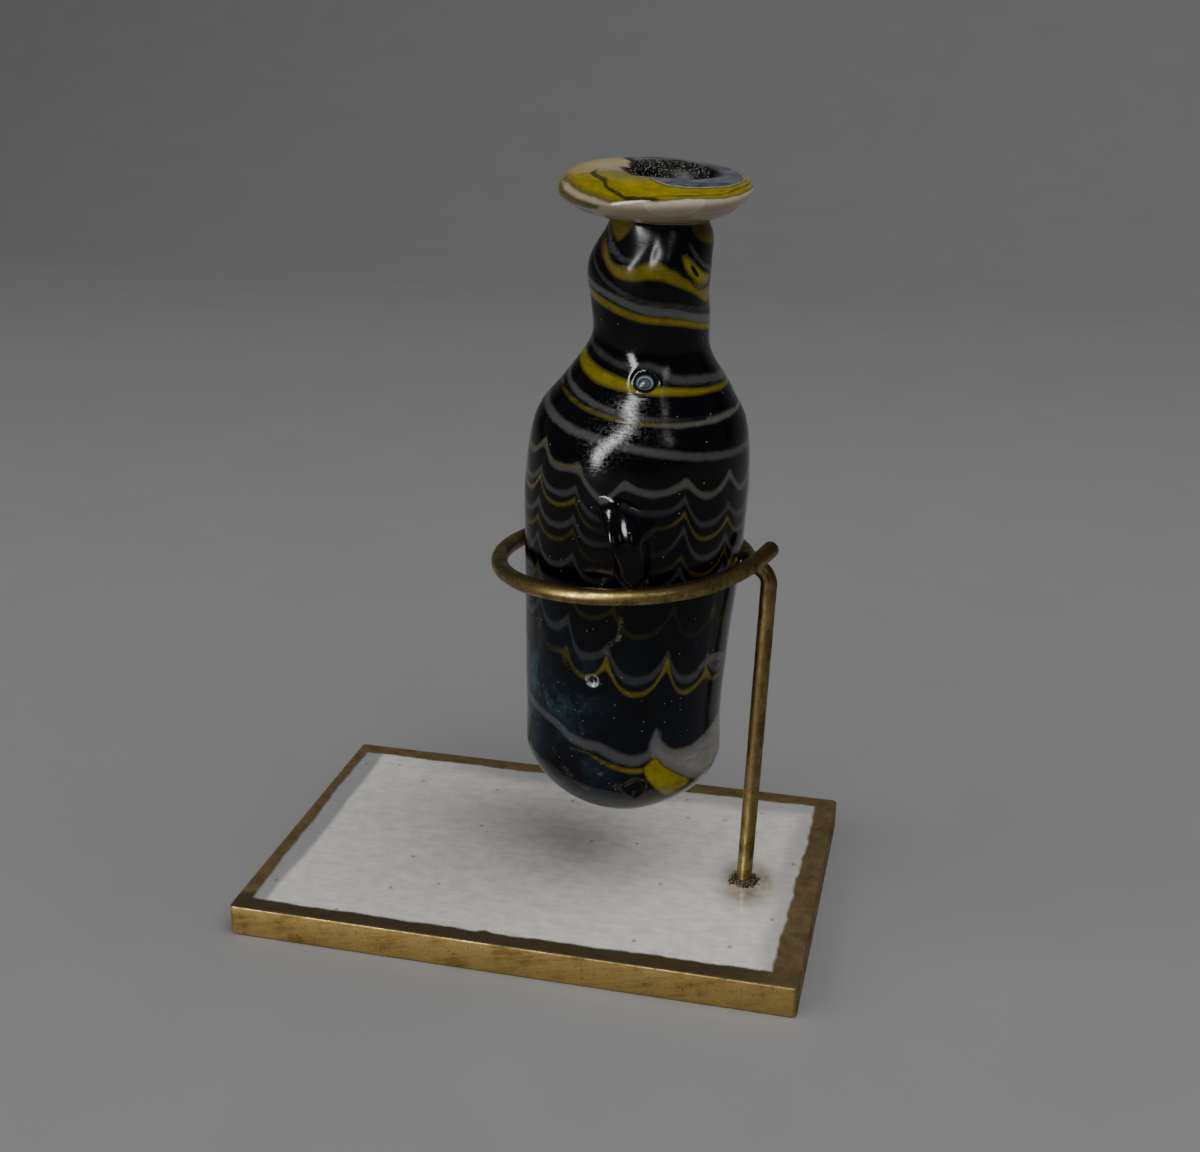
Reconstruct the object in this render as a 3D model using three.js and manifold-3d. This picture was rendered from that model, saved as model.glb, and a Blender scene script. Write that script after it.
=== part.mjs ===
// A core-formed glass alabastron, a small perfume bottle, hanging by its two lugs in a bent brass wire
// ring whose shank stands in a brass plate. Millimetres, +Z up, origin at the middle of the plate's
// underside, +X along the plate's long edge and -Y towards the front.
import * as THREE from "three";
import { mergeVertices } from "three/addons/utils/BufferGeometryUtils.js";
import Module from "manifold-3d";

const wasm = await Module();
wasm.setup();

// Driving dimensions of the base plate.
const plateLength = 86;
const plateWidth = 54.6;
const plateThickness = 5;
const plateCornerRadius = 1.6;
const plateEdgeRound = 0.5;

// Driving dimensions of the wire stand, which is one bent wire: shank, ring and free end.
const wireDiameter = 2.4;
const shankInset = 11.6; // from the plate's right edge to the shank's middle
const shankForward = 1.4; // in front of the plate's middle
const shankLean = 2.05; // degrees to the right
const socketDepth = 3.4; // of the hole in the plate
const bottomClearance = 11.9; // from the plate's top face to the bottle's lowest point
const ringRiseRight = 2.3; // degrees
const ringFallBack = 1.9; // degrees
const shankAngle = 5; // degrees round the ring from +X to the shank
const shankStandOff = 3.0; // from the ring's line out to the shank
const bendRadius = 2.7;
const joinAngle = 15; // degrees round the ring, where the bend has turned into it
const bendTurn = 82; // degrees
const bendDrop = 1.1; // of the wire below the ring's plane where it leaves the bend
const dropFade = 60; // degrees round the ring, over which it rises to that plane
const flareStartAngle = -42; // degrees round the ring, where the free end leaves it
const tipAngle = 1; // degrees round the ring, at the free end
const flareOut = 3.0;
const flareLift = 1.75;
const flareEase = 1.8; // 1 would be a straight run, and more keeps to the ring for longer

// Driving dimensions of the bottle. Each rise is the height from the level named before it.
const roundingHeight = 11; // of the round bottom
const roundingFullness = 1.65; // 2 would be a half ellipse, and 1 a cone
const baseRadius = 14.75; // at the top of the round bottom
const lowerRise = 7.7;
const lowerRadius = 14.65;
const seatRise = 22.2; // up to where the ring's plane crosses the axis
const seatRadius = 15.5;
const widestRise = 11.9;
const widestRadius = 15.8;
const shoulderRise = 9.1;
const shoulderRadius = 14.75;
const neckFootRise = 10.9;
const neckRadius = 8.15;
const neckBulgeRise = 10.6;
const neckBulgeRadius = 8.5;
const throatRise = 6.9; // up to the narrowest level, just under the rim
const throatRadius = 6.3;
const rimRise = 4; // up to where the rim is widest
const rimRadius = 12.8;
const rimCrest = 1.6; // of the rim's upper surface above where it is widest
const wall = 2.2;
const throatWall = 1.3;
const floorThickness = 2.6;
const mouthShift = 1.2; // of the mouth to the back, where the rim is narrowest
const leanRight = 3.6; // degrees
const leanForward = 3.5; // degrees

// How far the bottle's middle sways to the right, and over what height, as glass trailed by hand does.
const baseSway = 0.6;
const baseSwayHeight = 9;
const baseSwayReach = 8;
const neckSway = 0.75;
const neckSwayReach = 8;
const throatSway = 1.3;
const throatSwayDrop = 1.2; // of its middle below the throat
const throatSwayReach = 3.2;
const rimSway = -0.5;

// Driving dimensions of the glass lugs and of the drop on the shoulder.
const lugAzimuth = 12.2; // degrees from the front towards the right; the second lug is opposite
const lugHeight = 12.4;
const lugWidth = 7.2;
const lugTailWidth = 4.1;
const lugDepth = 3.2;
const lugTailDepth = 2.0;
const lugSeatDrop = 0.35; // of the tongue below the top of the wire
const lugRidgeShift = -1.1; // of the lug's upper part to the left
const lugSquareness = 0.62; // 1 would be an ellipsoid, and less a blunter lump
const lugTongueShare = 0.3; // of the height, up to which the lug is a plain tongue
const lugHeadShare = 0.78; // of the height, from which it is at its widest
const lugRoot = 0.6; // of the wall, how far it is melted in
const tongueFlatness = 0.45; // how much the tongue is pressed flat, as a share of its depth
const dropBelowNeck = 2.3; // from the neck's foot down to the drop
const dropRadius = 1.5;
const dropDepth = 0.8;

// Fits.
const gap = 0.3; // between pieces that touch
const ringPlay = 1.4; // between the bottle and the ring, were the bottle in the ring's middle

// Fineness.
const bottleSides = 40;
const outlineSteps = 26;
const rimSteps = 13;
const innerSteps = 14;
const wireSides = 12;
const shankSteps = 4;
const ringSteps = 50;
const bendSteps = 6;
const flareSteps = 7;
const lugSides = 18;
const lugRings = 16;

const degrees = THREE.MathUtils.degToRad;
const up = new THREE.Vector3(0, 0, 1);
const wireRadius = wireDiameter / 2;
const ringRadius = seatRadius + ringPlay + wireRadius;
const boreRadius = throatRadius - throatWall;
const lowerHeight = roundingHeight + lowerRise;
const seatHeight = lowerHeight + seatRise;
const widestHeight = seatHeight + widestRise;
const shoulderHeight = widestHeight + shoulderRise;
const neckFootHeight = shoulderHeight + neckFootRise;
const neckBulgeHeight = neckFootHeight + neckBulgeRise;
const throatHeight = neckBulgeHeight + throatRise;
const rimHeight = throatHeight + rimRise;
const dropHeight = neckFootHeight - dropBelowNeck;
const ringHeight = bottomClearance + seatHeight; // from the plate's top face to the ring's middle

// Turns a closed three.js geometry into a solid that can be joined and cut.
function solidOf(geometry) {
  const bare = geometry.clone();
  bare.deleteAttribute("normal");
  bare.deleteAttribute("uv");
  const merged = mergeVertices(bare, 1e-4);
  return new wasm.Manifold(
    new wasm.Mesh({
      numProp: 3,
      vertProperties: merged.attributes.position.array,
      triVerts: new Uint32Array(merged.index.array),
    }),
  );
}

// Turns a solid back into a three.js geometry.
function geometryOf(solid) {
  const mesh = solid.getMesh();
  const geometry = new THREE.BufferGeometry();
  const position = new THREE.BufferAttribute(mesh.vertProperties, 3);
  geometry.setAttribute("position", position);
  geometry.setIndex(new THREE.BufferAttribute(mesh.triVerts, 1));
  geometry.computeVertexNormals();
  return geometry;
}

function named(name, geometry, material) {
  const mesh = new THREE.Mesh(geometry, material);
  mesh.name = name;
  return mesh;
}

// Base plate

// A rectangle with round corners, as wide and deep as asked.
function roundedRectangle(length, width, radius) {
  const shape = new THREE.Shape();
  const x = length / 2 - radius;
  const y = width / 2 - radius;
  shape.absarc(x, y, radius, 0, Math.PI / 2);
  shape.absarc(-x, y, radius, Math.PI / 2, Math.PI);
  shape.absarc(-x, -y, radius, Math.PI, 1.5 * Math.PI);
  shape.absarc(x, -y, radius, 1.5 * Math.PI, 2 * Math.PI);
  return shape;
}

const shankFoot = new THREE.Vector3(plateLength / 2 - shankInset, -shankForward, plateThickness);
const shankDirection = new THREE.Vector3(Math.tan(degrees(shankLean)), 0, 1).normalize();

// The plate is cut from bar stock with its edges eased, and is drilled for the shank.
function basePlate() {
  const inner = 2 * plateEdgeRound;
  const radius = plateCornerRadius - plateEdgeRound;
  const outline = roundedRectangle(plateLength - inner, plateWidth - inner, radius);
  const slab = new THREE.ExtrudeGeometry(outline, {
    depth: plateThickness - inner,
    bevelSize: plateEdgeRound,
    bevelThickness: plateEdgeRound,
    bevelSegments: 3,
    curveSegments: 5,
  });
  slab.translate(0, 0, plateEdgeRound);
  const drillLength = 2 * socketDepth;
  const drillRadius = wireRadius + gap;
  const drill = new THREE.CylinderGeometry(drillRadius, drillRadius, drillLength, 24);
  drill.rotateX(Math.PI / 2);
  drill.applyQuaternion(new THREE.Quaternion().setFromUnitVectors(up, shankDirection));
  drill.translate(shankFoot.x, shankFoot.y, shankFoot.z);
  return geometryOf(solidOf(slab).subtract(solidOf(drill)));
}

// Wire stand

const ringNormal = new THREE.Vector3(
  -Math.tan(degrees(ringRiseRight)),
  Math.tan(degrees(ringFallBack)),
  1,
).normalize();
const ringAcross = new THREE.Vector3(0, 1, 0).cross(ringNormal).normalize();
const ringBack = ringNormal.clone().cross(ringAcross);
const shankReach = ringRadius + shankStandOff;
const shankTop = shankFoot.clone().addScaledVector(shankDirection, ringHeight / shankDirection.z);
const ringCentre = new THREE.Vector3(
  shankTop.x - shankReach * Math.cos(degrees(shankAngle)),
  shankTop.y - shankReach * Math.sin(degrees(shankAngle)),
  plateThickness + ringHeight,
);

// A point of the ring's line, at an angle from +X, moved outwards and upwards.
function ringPoint(angle, out, lift) {
  const radius = ringRadius + out;
  return ringCentre
    .clone()
    .addScaledVector(ringAcross, radius * Math.cos(degrees(angle)))
    .addScaledVector(ringBack, radius * Math.sin(degrees(angle)))
    .addScaledVector(ringNormal, lift);
}

// A curve through chosen points, which an extrusion visits one by one.
class WireLine extends THREE.CatmullRomCurve3 {
  getPointAt(u, target) {
    return this.getPoint(u, target);
  }
  getTangentAt(u, target) {
    return this.getTangent(u, target);
  }
}

// The points of the wire's middle line, from the foot in the plate round to the free end.
function wirePoints() {
  const points = [];
  const foot = gap - socketDepth;
  const join = ringPoint(joinAngle, 0, -bendDrop);
  const height = join.z - plateThickness - bendRadius;
  const rise = height - foot;
  for (let i = 0; i <= shankSteps; i += 1) {
    const along = (foot + (rise * i) / shankSteps) / shankDirection.z;
    points.push(shankFoot.clone().addScaledVector(shankDirection, along));
  }
  const start = points[points.length - 1];
  const tangent = ringPoint(joinAngle + 1, 0, -bendDrop).sub(join).normalize();
  const towards = join.clone().addScaledVector(tangent, -bendRadius).sub(start).setZ(0);
  const level = towards.normalize();
  for (let i = 1; i <= bendSteps; i += 1) {
    const turn = (i / bendSteps) * degrees(bendTurn);
    const bent = start.clone().addScaledVector(level, bendRadius * (1 - Math.cos(turn)));
    points.push(bent.addScaledVector(up, bendRadius * Math.sin(turn)));
  }
  const sweep = 360 + flareStartAngle - joinAngle;
  for (let i = 0; i <= ringSteps; i += 1) {
    const turned = (sweep * i) / ringSteps;
    const sunk = 1 - THREE.MathUtils.smoothstep(turned, 0, dropFade);
    points.push(ringPoint(joinAngle + turned, 0, -bendDrop * sunk));
  }
  for (let i = 1; i <= flareSteps; i += 1) {
    const share = i / flareSteps;
    const angle = flareStartAngle + (tipAngle - flareStartAngle) * share;
    const ease = Math.pow(share, flareEase);
    points.push(ringPoint(angle, flareOut * ease, flareLift * ease));
  }
  return points;
}

function wireStand() {
  const points = wirePoints();
  const section = new THREE.Shape().absarc(0, 0, wireRadius, 0, 2 * Math.PI);
  const tube = new THREE.ExtrudeGeometry(section, {
    steps: points.length - 1,
    curveSegments: wireSides / 2,
    extrudePath: new WireLine(points),
  });
  const tip = new THREE.SphereGeometry(wireRadius, wireSides, 8);
  const end = points[points.length - 1];
  tip.translate(end.x, end.y, end.z);
  return geometryOf(solidOf(tube).add(solidOf(tip)));
}

// Bottle

// The outside of the bottle from the top of its round bottom up to its throat, as radius and height.
const sideCurve = new THREE.SplineCurve([
  new THREE.Vector2(baseRadius, roundingHeight),
  new THREE.Vector2(lowerRadius, lowerHeight),
  new THREE.Vector2(seatRadius, seatHeight),
  new THREE.Vector2(widestRadius, widestHeight),
  new THREE.Vector2(shoulderRadius, shoulderHeight),
  new THREE.Vector2((shoulderRadius + neckRadius) / 2, (shoulderHeight + neckFootHeight) / 2),
  new THREE.Vector2(neckRadius, neckFootHeight),
  new THREE.Vector2(neckRadius, (neckFootHeight + neckBulgeHeight) / 2),
  new THREE.Vector2(neckBulgeRadius, neckBulgeHeight),
  new THREE.Vector2(throatRadius, throatHeight),
]);

// The rim from the throat out, over the crest and in to the bore. Its points are shares of the band
// from the bore out, of the rise from the throat up, and of the crest.
function rimCurve() {
  const band = rimRadius - boreRadius;
  const point = (share, rise, crest) =>
    new THREE.Vector2(boreRadius + share * band, throatHeight + rise * rimRise + crest * rimCrest);
  return new THREE.SplineCurve([
    new THREE.Vector2(throatRadius, throatHeight),
    point(0.55, 0.43, 0),
    point(0.87, 0.48, 0),
    point(1, 1, 0),
    point(0.87, 1, 0.66),
    point(0.58, 1, 1),
    point(0.28, 1, 0.69),
    point(0.06, 0.93, 0),
    point(0, 0.4, 0),
  ]);
}

// The round bottom, a little more pointed than a half ellipse, from the axis out.
function bottomPoints(radius, lowest, top, steps) {
  const points = [];
  const power = 2 / roundingFullness;
  for (let i = 0; i < steps; i += 1) {
    const turn = (i / steps) * (Math.PI / 2);
    const height = top - (top - lowest) * Math.pow(Math.cos(turn), power);
    points.push(new THREE.Vector2(radius * Math.pow(Math.sin(turn), power), height));
  }
  return points;
}

// The inside, from the bore down to the floor: the outside moved in by the wall.
function innerPoints() {
  const points = [];
  const highest = throatHeight - throatWall / 2;
  for (let i = 0; i <= innerSteps; i += 1) {
    const u = 1 - i / innerSteps;
    const outside = sideCurve.getPointAt(u);
    const along = sideCurve.getTangentAt(u);
    const height = outside.y + wall * along.x;
    const radius = Math.max(boreRadius, outside.x - wall * along.y);
    if (height < highest && height > roundingHeight) points.push(new THREE.Vector2(radius, height));
  }
  const bottom = bottomPoints(baseRadius - wall, floorThickness, roundingHeight, 6);
  return points.concat(bottom.reverse());
}

// A smooth hump of height 1, for a swelling that fades out to both sides.
function hump(value, middle, reach) {
  return Math.exp(-(((value - middle) / reach) ** 2));
}

// How far the bottle's middle is to the right of its axis at a height.
function sway(height) {
  const base = baseSway * hump(height, baseSwayHeight, baseSwayReach);
  const neck = neckSway * hump(height, neckFootHeight, neckSwayReach);
  const throat = throatSway * hump(height, throatHeight - throatSwayDrop, throatSwayReach);
  const rim = rimSway * THREE.MathUtils.smoothstep(height, throatHeight, rimHeight);
  return base + neck + throat + rim;
}

function bottleShell() {
  const side = sideCurve.getSpacedPoints(outlineSteps);
  const rim = rimCurve().getSpacedPoints(rimSteps).slice(1);
  const bottom = bottomPoints(baseRadius, 0, roundingHeight, 8);
  const profile = [...bottom, ...side, ...rim, ...innerPoints()];
  profile[0].x = 0;
  profile[profile.length - 1].x = 0;
  const shell = new THREE.LatheGeometry(profile, bottleSides);
  shell.rotateX(Math.PI / 2);
  const position = shell.attributes.position;
  for (let i = 0; i < position.count; i += 1) {
    const reach = Math.hypot(position.getX(i), position.getY(i));
    const lip = THREE.MathUtils.smoothstep(position.getZ(i), throatHeight, rimHeight);
    const inward = 1 - THREE.MathUtils.smoothstep(reach, boreRadius + throatWall / 2, rimRadius);
    position.setX(i, position.getX(i) + sway(position.getZ(i)));
    position.setY(i, position.getY(i) + mouthShift * lip * inward);
  }
  return solidOf(shell);
}

// The bottle's outer radius at a height on its side.
function radiusAt(height) {
  let low = 0;
  let high = 1;
  for (let i = 0; i < 30; i += 1) {
    const middle = (low + high) / 2;
    if (sideCurve.getPoint(middle).y < height) low = middle;
    else high = middle;
  }
  return sideCurve.getPoint(low).x;
}

const bottleAxis = up.clone().applyEuler(new THREE.Euler(degrees(leanForward), degrees(leanRight), 0));

// How much higher up the bottle the leaning ring meets it on one side than in the middle.
function ringRise(azimuth) {
  const reach = new THREE.Vector2(Math.sin(degrees(azimuth)), -Math.cos(degrees(azimuth)));
  reach.multiplyScalar(ringRadius);
  const acrossX = bottleAxis.x / bottleAxis.z - ringNormal.x / ringNormal.z;
  const acrossY = bottleAxis.y / bottleAxis.z - ringNormal.y / ringNormal.z;
  return acrossX * reach.x + acrossY * reach.y;
}

// A lug: a lump of trailed glass, wide and standing out above, drawn down to a tongue that ends on the wire.
function lug(azimuth, ridgeShift) {
  const bottom = seatHeight + ringRise(azimuth) + wireRadius + gap - lugSeatDrop;
  const lump = new THREE.SphereGeometry(1, lugSides, lugRings);
  lump.rotateX(Math.PI / 2);
  const position = lump.attributes.position;
  const turn = degrees(azimuth - 90);
  for (let i = 0; i < position.count; i += 1) {
    const level = (position.getZ(i) + 1) / 2;
    const height = bottom + lugHeight * level;
    const head = THREE.MathUtils.smoothstep(level, lugTongueShare, lugHeadShare);
    const fullness = Math.sqrt(Math.max(0, 1 - position.getZ(i) ** 2));
    const squared = fullness > 0 ? Math.pow(fullness, lugSquareness - 1) : 0;
    const width = THREE.MathUtils.lerp(lugTailWidth, lugWidth, head) / 2;
    const depth = THREE.MathUtils.lerp(lugTailDepth, lugDepth, head);
    const outward = position.getX(i) > 0 ? depth : lugRoot * wall;
    const sideways = position.getY(i) * squared * width + ridgeShift * head;
    const flatness = tongueFlatness * (1 - head);
    const middle = radiusAt(height) + flatness * lugTailDepth;
    const reach = middle + position.getX(i) * squared * outward * (1 - flatness);
    const x = reach * Math.cos(turn) - sideways * Math.sin(turn);
    const y = reach * Math.sin(turn) + sideways * Math.cos(turn);
    position.setXYZ(i, x, y, height);
  }
  return solidOf(lump);
}

// The round drop of glass on the shoulder, above the front lug.
function shoulderDrop() {
  const drop = new THREE.SphereGeometry(dropRadius, 14, 10);
  const flat = new THREE.Matrix4().makeScale(dropDepth / dropRadius, 1, 1);
  drop.applyMatrix4(flat);
  const below = radiusAt(dropHeight - dropRadius);
  const above = radiusAt(dropHeight + dropRadius);
  drop.rotateY(-Math.atan2(below - above, 2 * dropRadius));
  drop.translate(radiusAt(dropHeight) + sway(dropHeight) * Math.sin(degrees(lugAzimuth)), 0, dropHeight);
  drop.rotateZ(degrees(lugAzimuth - 90));
  return solidOf(drop);
}

function bottle() {
  const front = lug(lugAzimuth, lugRidgeShift);
  const back = lug(lugAzimuth + 180, 0);
  return geometryOf(bottleShell().add(front).add(back).add(shoulderDrop()));
}

// Assembly

const glass = new THREE.MeshStandardMaterial({ color: "#10131c", roughness: 0.12, metalness: 0 });
const brass = new THREE.MeshStandardMaterial({ color: "#8a6f35", roughness: 0.4, metalness: 1 });
const plateBrass = new THREE.MeshStandardMaterial({ color: "#8c6d33", roughness: 0.45, metalness: 1 });

const bottleMesh = named("bottle", bottle(), glass);
bottleMesh.position.set(0, 0, -seatHeight);

const hanging = new THREE.Group();
hanging.position.copy(ringCentre);
hanging.position.x += ringPlay - gap;
hanging.rotation.set(degrees(leanForward), degrees(leanRight), 0);
hanging.add(bottleMesh);

const alabastron = new THREE.Group();
alabastron.add(named("base_plate", basePlate(), plateBrass));
alabastron.add(named("wire_stand", wireStand(), brass));
alabastron.add(hanging);

export default alabastron;
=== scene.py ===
"""A core-formed glass alabastron hanging by its lugs in a bent brass wire ring that stands in a brass plate.

Sizes are millimetres until a mesh is made, +Z is up and -Y is the front. The bottle is worked out in its own
upright frame, as an azimuth in degrees from the front towards the right and a height from its lowest point,
and is then leant and hung in the ring.
"""

import math
from functools import partial

import bpy
import numpy as np
from mathutils import Matrix, Vector


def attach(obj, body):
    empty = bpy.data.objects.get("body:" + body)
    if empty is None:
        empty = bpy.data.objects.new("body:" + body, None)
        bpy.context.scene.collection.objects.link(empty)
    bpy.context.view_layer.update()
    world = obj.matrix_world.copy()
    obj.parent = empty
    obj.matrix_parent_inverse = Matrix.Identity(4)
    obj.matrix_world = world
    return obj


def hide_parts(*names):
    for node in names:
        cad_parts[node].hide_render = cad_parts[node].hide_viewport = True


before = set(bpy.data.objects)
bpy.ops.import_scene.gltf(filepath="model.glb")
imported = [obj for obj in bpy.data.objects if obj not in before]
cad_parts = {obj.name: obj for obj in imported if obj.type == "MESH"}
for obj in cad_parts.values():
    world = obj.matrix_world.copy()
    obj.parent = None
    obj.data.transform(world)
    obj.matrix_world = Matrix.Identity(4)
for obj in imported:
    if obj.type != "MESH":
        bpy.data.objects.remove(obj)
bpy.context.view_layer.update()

MM = 0.001

# The base plate.
PLATE_LENGTH = 86.0
PLATE_WIDTH = 54.6
PLATE_THICKNESS = 5.0
PLATE_CORNER = 0.7
PLATE_EDGE = 0.32

# The wire stand.
WIRE_RADIUS = 1.2
SHANK_INSET = 11.6
SHANK_FORWARD = 1.4
SHANK_LEAN = 2.05
SOCKET_DEPTH = 3.4
BOTTOM_CLEARANCE = 11.9
RING_RISE_RIGHT = 2.3
RING_FALL_BACK = 1.9
SHANK_ANGLE = 5.0
SHANK_STAND_OFF = 3.0
BEND_RADIUS = 2.7
BEND_TURN = 82.0
JOIN_ANGLE = 15.0
BEND_DROP = 1.1
DROP_FADE = 60.0
FLARE_START = -42.0
TIP_ANGLE = 1.0
FLARE_OUT = 3.0
FLARE_LIFT = 1.75
FLARE_EASE = 1.8

# The bottle.
ROUNDING_HEIGHT = 11.0
ROUNDING_FULLNESS = 1.65
BASE_RADIUS = 14.75
LOWER_HEIGHT, LOWER_RADIUS = 18.7, 14.65
SEAT_HEIGHT, SEAT_RADIUS = 40.9, 15.5
WIDEST_HEIGHT, WIDEST_RADIUS = 52.8, 15.8
SHOULDER_HEIGHT, SHOULDER_RADIUS = 61.9, 14.75
NECK_FOOT_HEIGHT, NECK_RADIUS = 72.8, 8.15
NECK_BULGE_HEIGHT, NECK_BULGE_RADIUS = 83.4, 8.5
THROAT_HEIGHT, THROAT_RADIUS = 90.3, 6.3
RIM_RADIUS = 12.75
# The rim's section from the throat out under the lip, over it and down into the bore: radius, height.
RIM_SECTION = (
    (8.5, 91.0),
    (10.2, 91.5),
    (11.9, 92.7),
    (RIM_RADIUS, 93.85),
    (12.2, 95.1),
    (11.0, 95.68),
    (9.2, 95.85),
    (7.5, 95.82),
    (6.1, 95.5),
    (5.3, 94.7),
    (5.05, 93.4),
    (5.0, 91.9),
)
RIM_HEIGHT = 94.3
RIM_SAG = 0.055
WALL = 2.2
THROAT_WALL = 1.3
BORE_RADIUS = THROAT_RADIUS - THROAT_WALL
FLOOR_THICKNESS = 2.6
MOUTH_SHIFT_RIGHT = 1.9
MOUTH_SHIFT_BACK = 2.1
LEAN_RIGHT = 3.6
LEAN_FORWARD = 3.5
RING_PLAY = 1.4
GAP = 0.3

# The lugs and the drop on the shoulder.
LUG_AZIMUTH = 12.2
LUG_TAIL_DEPTH = 2.1
LUG_SEAT_DROP = 0.35
# The lug's outline on the skin: millimetres to the right of its middle and up from its lowest point.
LUG_OUTLINE = [
    (0.0, -0.1),
    (1.75, 1.8),
    (2.05, 4.7),
    (2.15, 6.9),
    (2.6, 8.6),
    (2.7, 10.2),
    (1.0, 11.8),
    (-1.6, 12.7),
    (-4.2, 13.0),
    (-5.4, 11.9),
    (-4.6, 9.3),
    (-3.4, 7.3),
    (-2.6, 4.4),
    (-2.1, 2.0),
]
DROP_AZIMUTH, DROP_HEIGHT = 8.2, 70.4
DROP_RADIUS, DROP_DEPTH = 1.4, 0.8
# About how long the skin is for each millimetre of height, on the slope where the drop sits.
DROP_SLOPE = 1.35

RING_RADIUS = SEAT_RADIUS + RING_PLAY + WIRE_RADIUS


# Small sums


def smoothstep(value, low, high):
    """0 below the low value, 1 above the high one, and a smooth rise between them."""
    share = np.clip((value - low) / (high - low), 0, 1)
    return share * share * (3 - 2 * share)


def hump(value, middle, reach):
    """A bell curve that is 1 at its middle."""
    return np.exp(-(((value - middle) / reach) ** 2))


def turned(azimuth, middle):
    """How far an azimuth is from another one, the short way round."""
    return (azimuth - middle + 180) % 360 - 180


def catmull(points, steps):
    """A Catmull-Rom curve through points, as an array of steps + 1 points."""
    points = np.array(points, float)
    last = len(points) - 1
    place = np.linspace(0, last, steps + 1)
    index = np.minimum(place.astype(int), last - 1)
    share = (place - index)[:, None]
    before = points[np.maximum(index - 1, 0)]
    start = points[index]
    end = points[index + 1]
    after = points[np.minimum(index + 2, last)]
    # The curve's first and last stretch run on as if the end point were doubled.
    leave = (end - before) / 2
    arrive = (after - start) / 2
    cubic = 2 * start - 2 * end + leave + arrive
    square = -3 * start + 3 * end - 2 * leave - arrive
    return cubic * share**3 + square * share**2 + leave * share + start


def waves(azimuth, height, grain, seed, azimuth_grain=1):
    """Smooth irregular waves between about -1 and 1, the same all the way round."""
    pick = np.random.default_rng(seed)
    total = 0
    for octave in range(5):
        turns = pick.integers(1, 4) * azimuth_grain * (octave + 1)
        rise = pick.uniform(0.7, 1.4) * (octave + 1) / grain
        phase = pick.uniform(0, 2 * math.pi)
        total = total + np.sin(np.radians(azimuth) * turns + height * rise + phase) / (octave + 1)
    return total / 1.6


# The bottle's outline


SIDE = catmull(
    [
        (BASE_RADIUS, ROUNDING_HEIGHT),
        (LOWER_RADIUS, LOWER_HEIGHT),
        (SEAT_RADIUS, SEAT_HEIGHT),
        (WIDEST_RADIUS, WIDEST_HEIGHT),
        (SHOULDER_RADIUS, SHOULDER_HEIGHT),
        ((SHOULDER_RADIUS + NECK_RADIUS) / 2, (SHOULDER_HEIGHT + NECK_FOOT_HEIGHT) / 2),
        (NECK_RADIUS, NECK_FOOT_HEIGHT),
        (NECK_RADIUS, (NECK_FOOT_HEIGHT + NECK_BULGE_HEIGHT) / 2),
        (NECK_BULGE_RADIUS, NECK_BULGE_HEIGHT),
        (THROAT_RADIUS, THROAT_HEIGHT),
    ],
    900,
)


def rim_outline():
    """The rim from the throat out, over the crest and in to the bore."""
    return catmull([(THROAT_RADIUS, THROAT_HEIGHT), *RIM_SECTION], 500)


BOTTOM_POINTS = 199


def bottom_outline(radius, lowest, top):
    """The round bottom from its lowest point out to the wall."""
    turn = np.linspace(0, math.pi / 2, BOTTOM_POINTS + 1)[:-1]
    power = 2 / ROUNDING_FULLNESS
    return np.stack([radius * np.sin(turn) ** power, top - (top - lowest) * np.cos(turn) ** power], 1)


def side_radius(height):
    """The plain outer radius at a height."""
    return np.interp(height, SIDE[:, 1], SIDE[:, 0])


def inner_outline():
    """The inside from the bore down to the floor."""
    along = np.gradient(SIDE, axis=0)
    along /= np.linalg.norm(along, axis=1)[:, None]
    height = SIDE[:, 1] + WALL * along[:, 0]
    radius = np.maximum(BORE_RADIUS, SIDE[:, 0] - WALL * along[:, 1])
    keep = (height < THROAT_HEIGHT - THROAT_WALL / 2) & (height > ROUNDING_HEIGHT)
    side = np.stack([radius, height], 1)[keep][::-1]
    return np.vstack([side, bottom_outline(BASE_RADIUS - WALL, FLOOR_THICKNESS, ROUNDING_HEIGHT)[::-1]])


def sway(height):
    """How far the bottle's middle is to the right of its axis at a height."""
    base = 0.6 * hump(height, 9, 8)
    neck = 0.75 * hump(height, NECK_FOOT_HEIGHT, 8)
    throat = 0.9 * hump(height, THROAT_HEIGHT - 1.6, 2.8)
    rim = -0.15 * smoothstep(height, THROAT_HEIGHT, RIM_HEIGHT)
    return base + neck + throat + rim


def resampled(outline, spacing, crowding):
    """The outline's points spaced along it by a size in mm, which crowding divides where it is over 1."""
    step = np.linalg.norm(np.diff(outline, axis=0), axis=1)
    arc = np.concatenate([[0], np.cumsum(step)])
    density = crowding(arc, outline[:, 1])
    weight = np.concatenate([[0], np.cumsum(step * (density[1:] + density[:-1]) / 2)])
    count = int(round(weight[-1] / spacing))
    want = np.interp(np.linspace(0, weight[-1], count + 1), weight, arc)
    return np.stack([np.interp(want, arc, outline[:, 0]), np.interp(want, arc, outline[:, 1]), want], 1)


# Where the hand-trailed wall is fuller or flatter than its outline: azimuth, height, reach round, reach up,
# and how far out.
WALL_SWELLS = (
    (95, 81.5, 38, 3.4, -0.75),
    (92, 67.5, 40, 3.0, 0.35),
    (-72, 71.5, 35, 2.5, 0.35),
    (80, 3.0, 45, 3.2, -0.55),
    (-10, 85.3, 13, 1.6, 0.42),
    (22, 86.0, 12, 1.6, 0.4),
    (6, 86.6, 5, 1.8, -0.16),
    (4, 88.9, 32, 1.6, -0.32),
    (44, 87.6, 9, 1.6, -0.3),
    (58, 83.6, 12, 1.5, 0.25),
)


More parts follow.
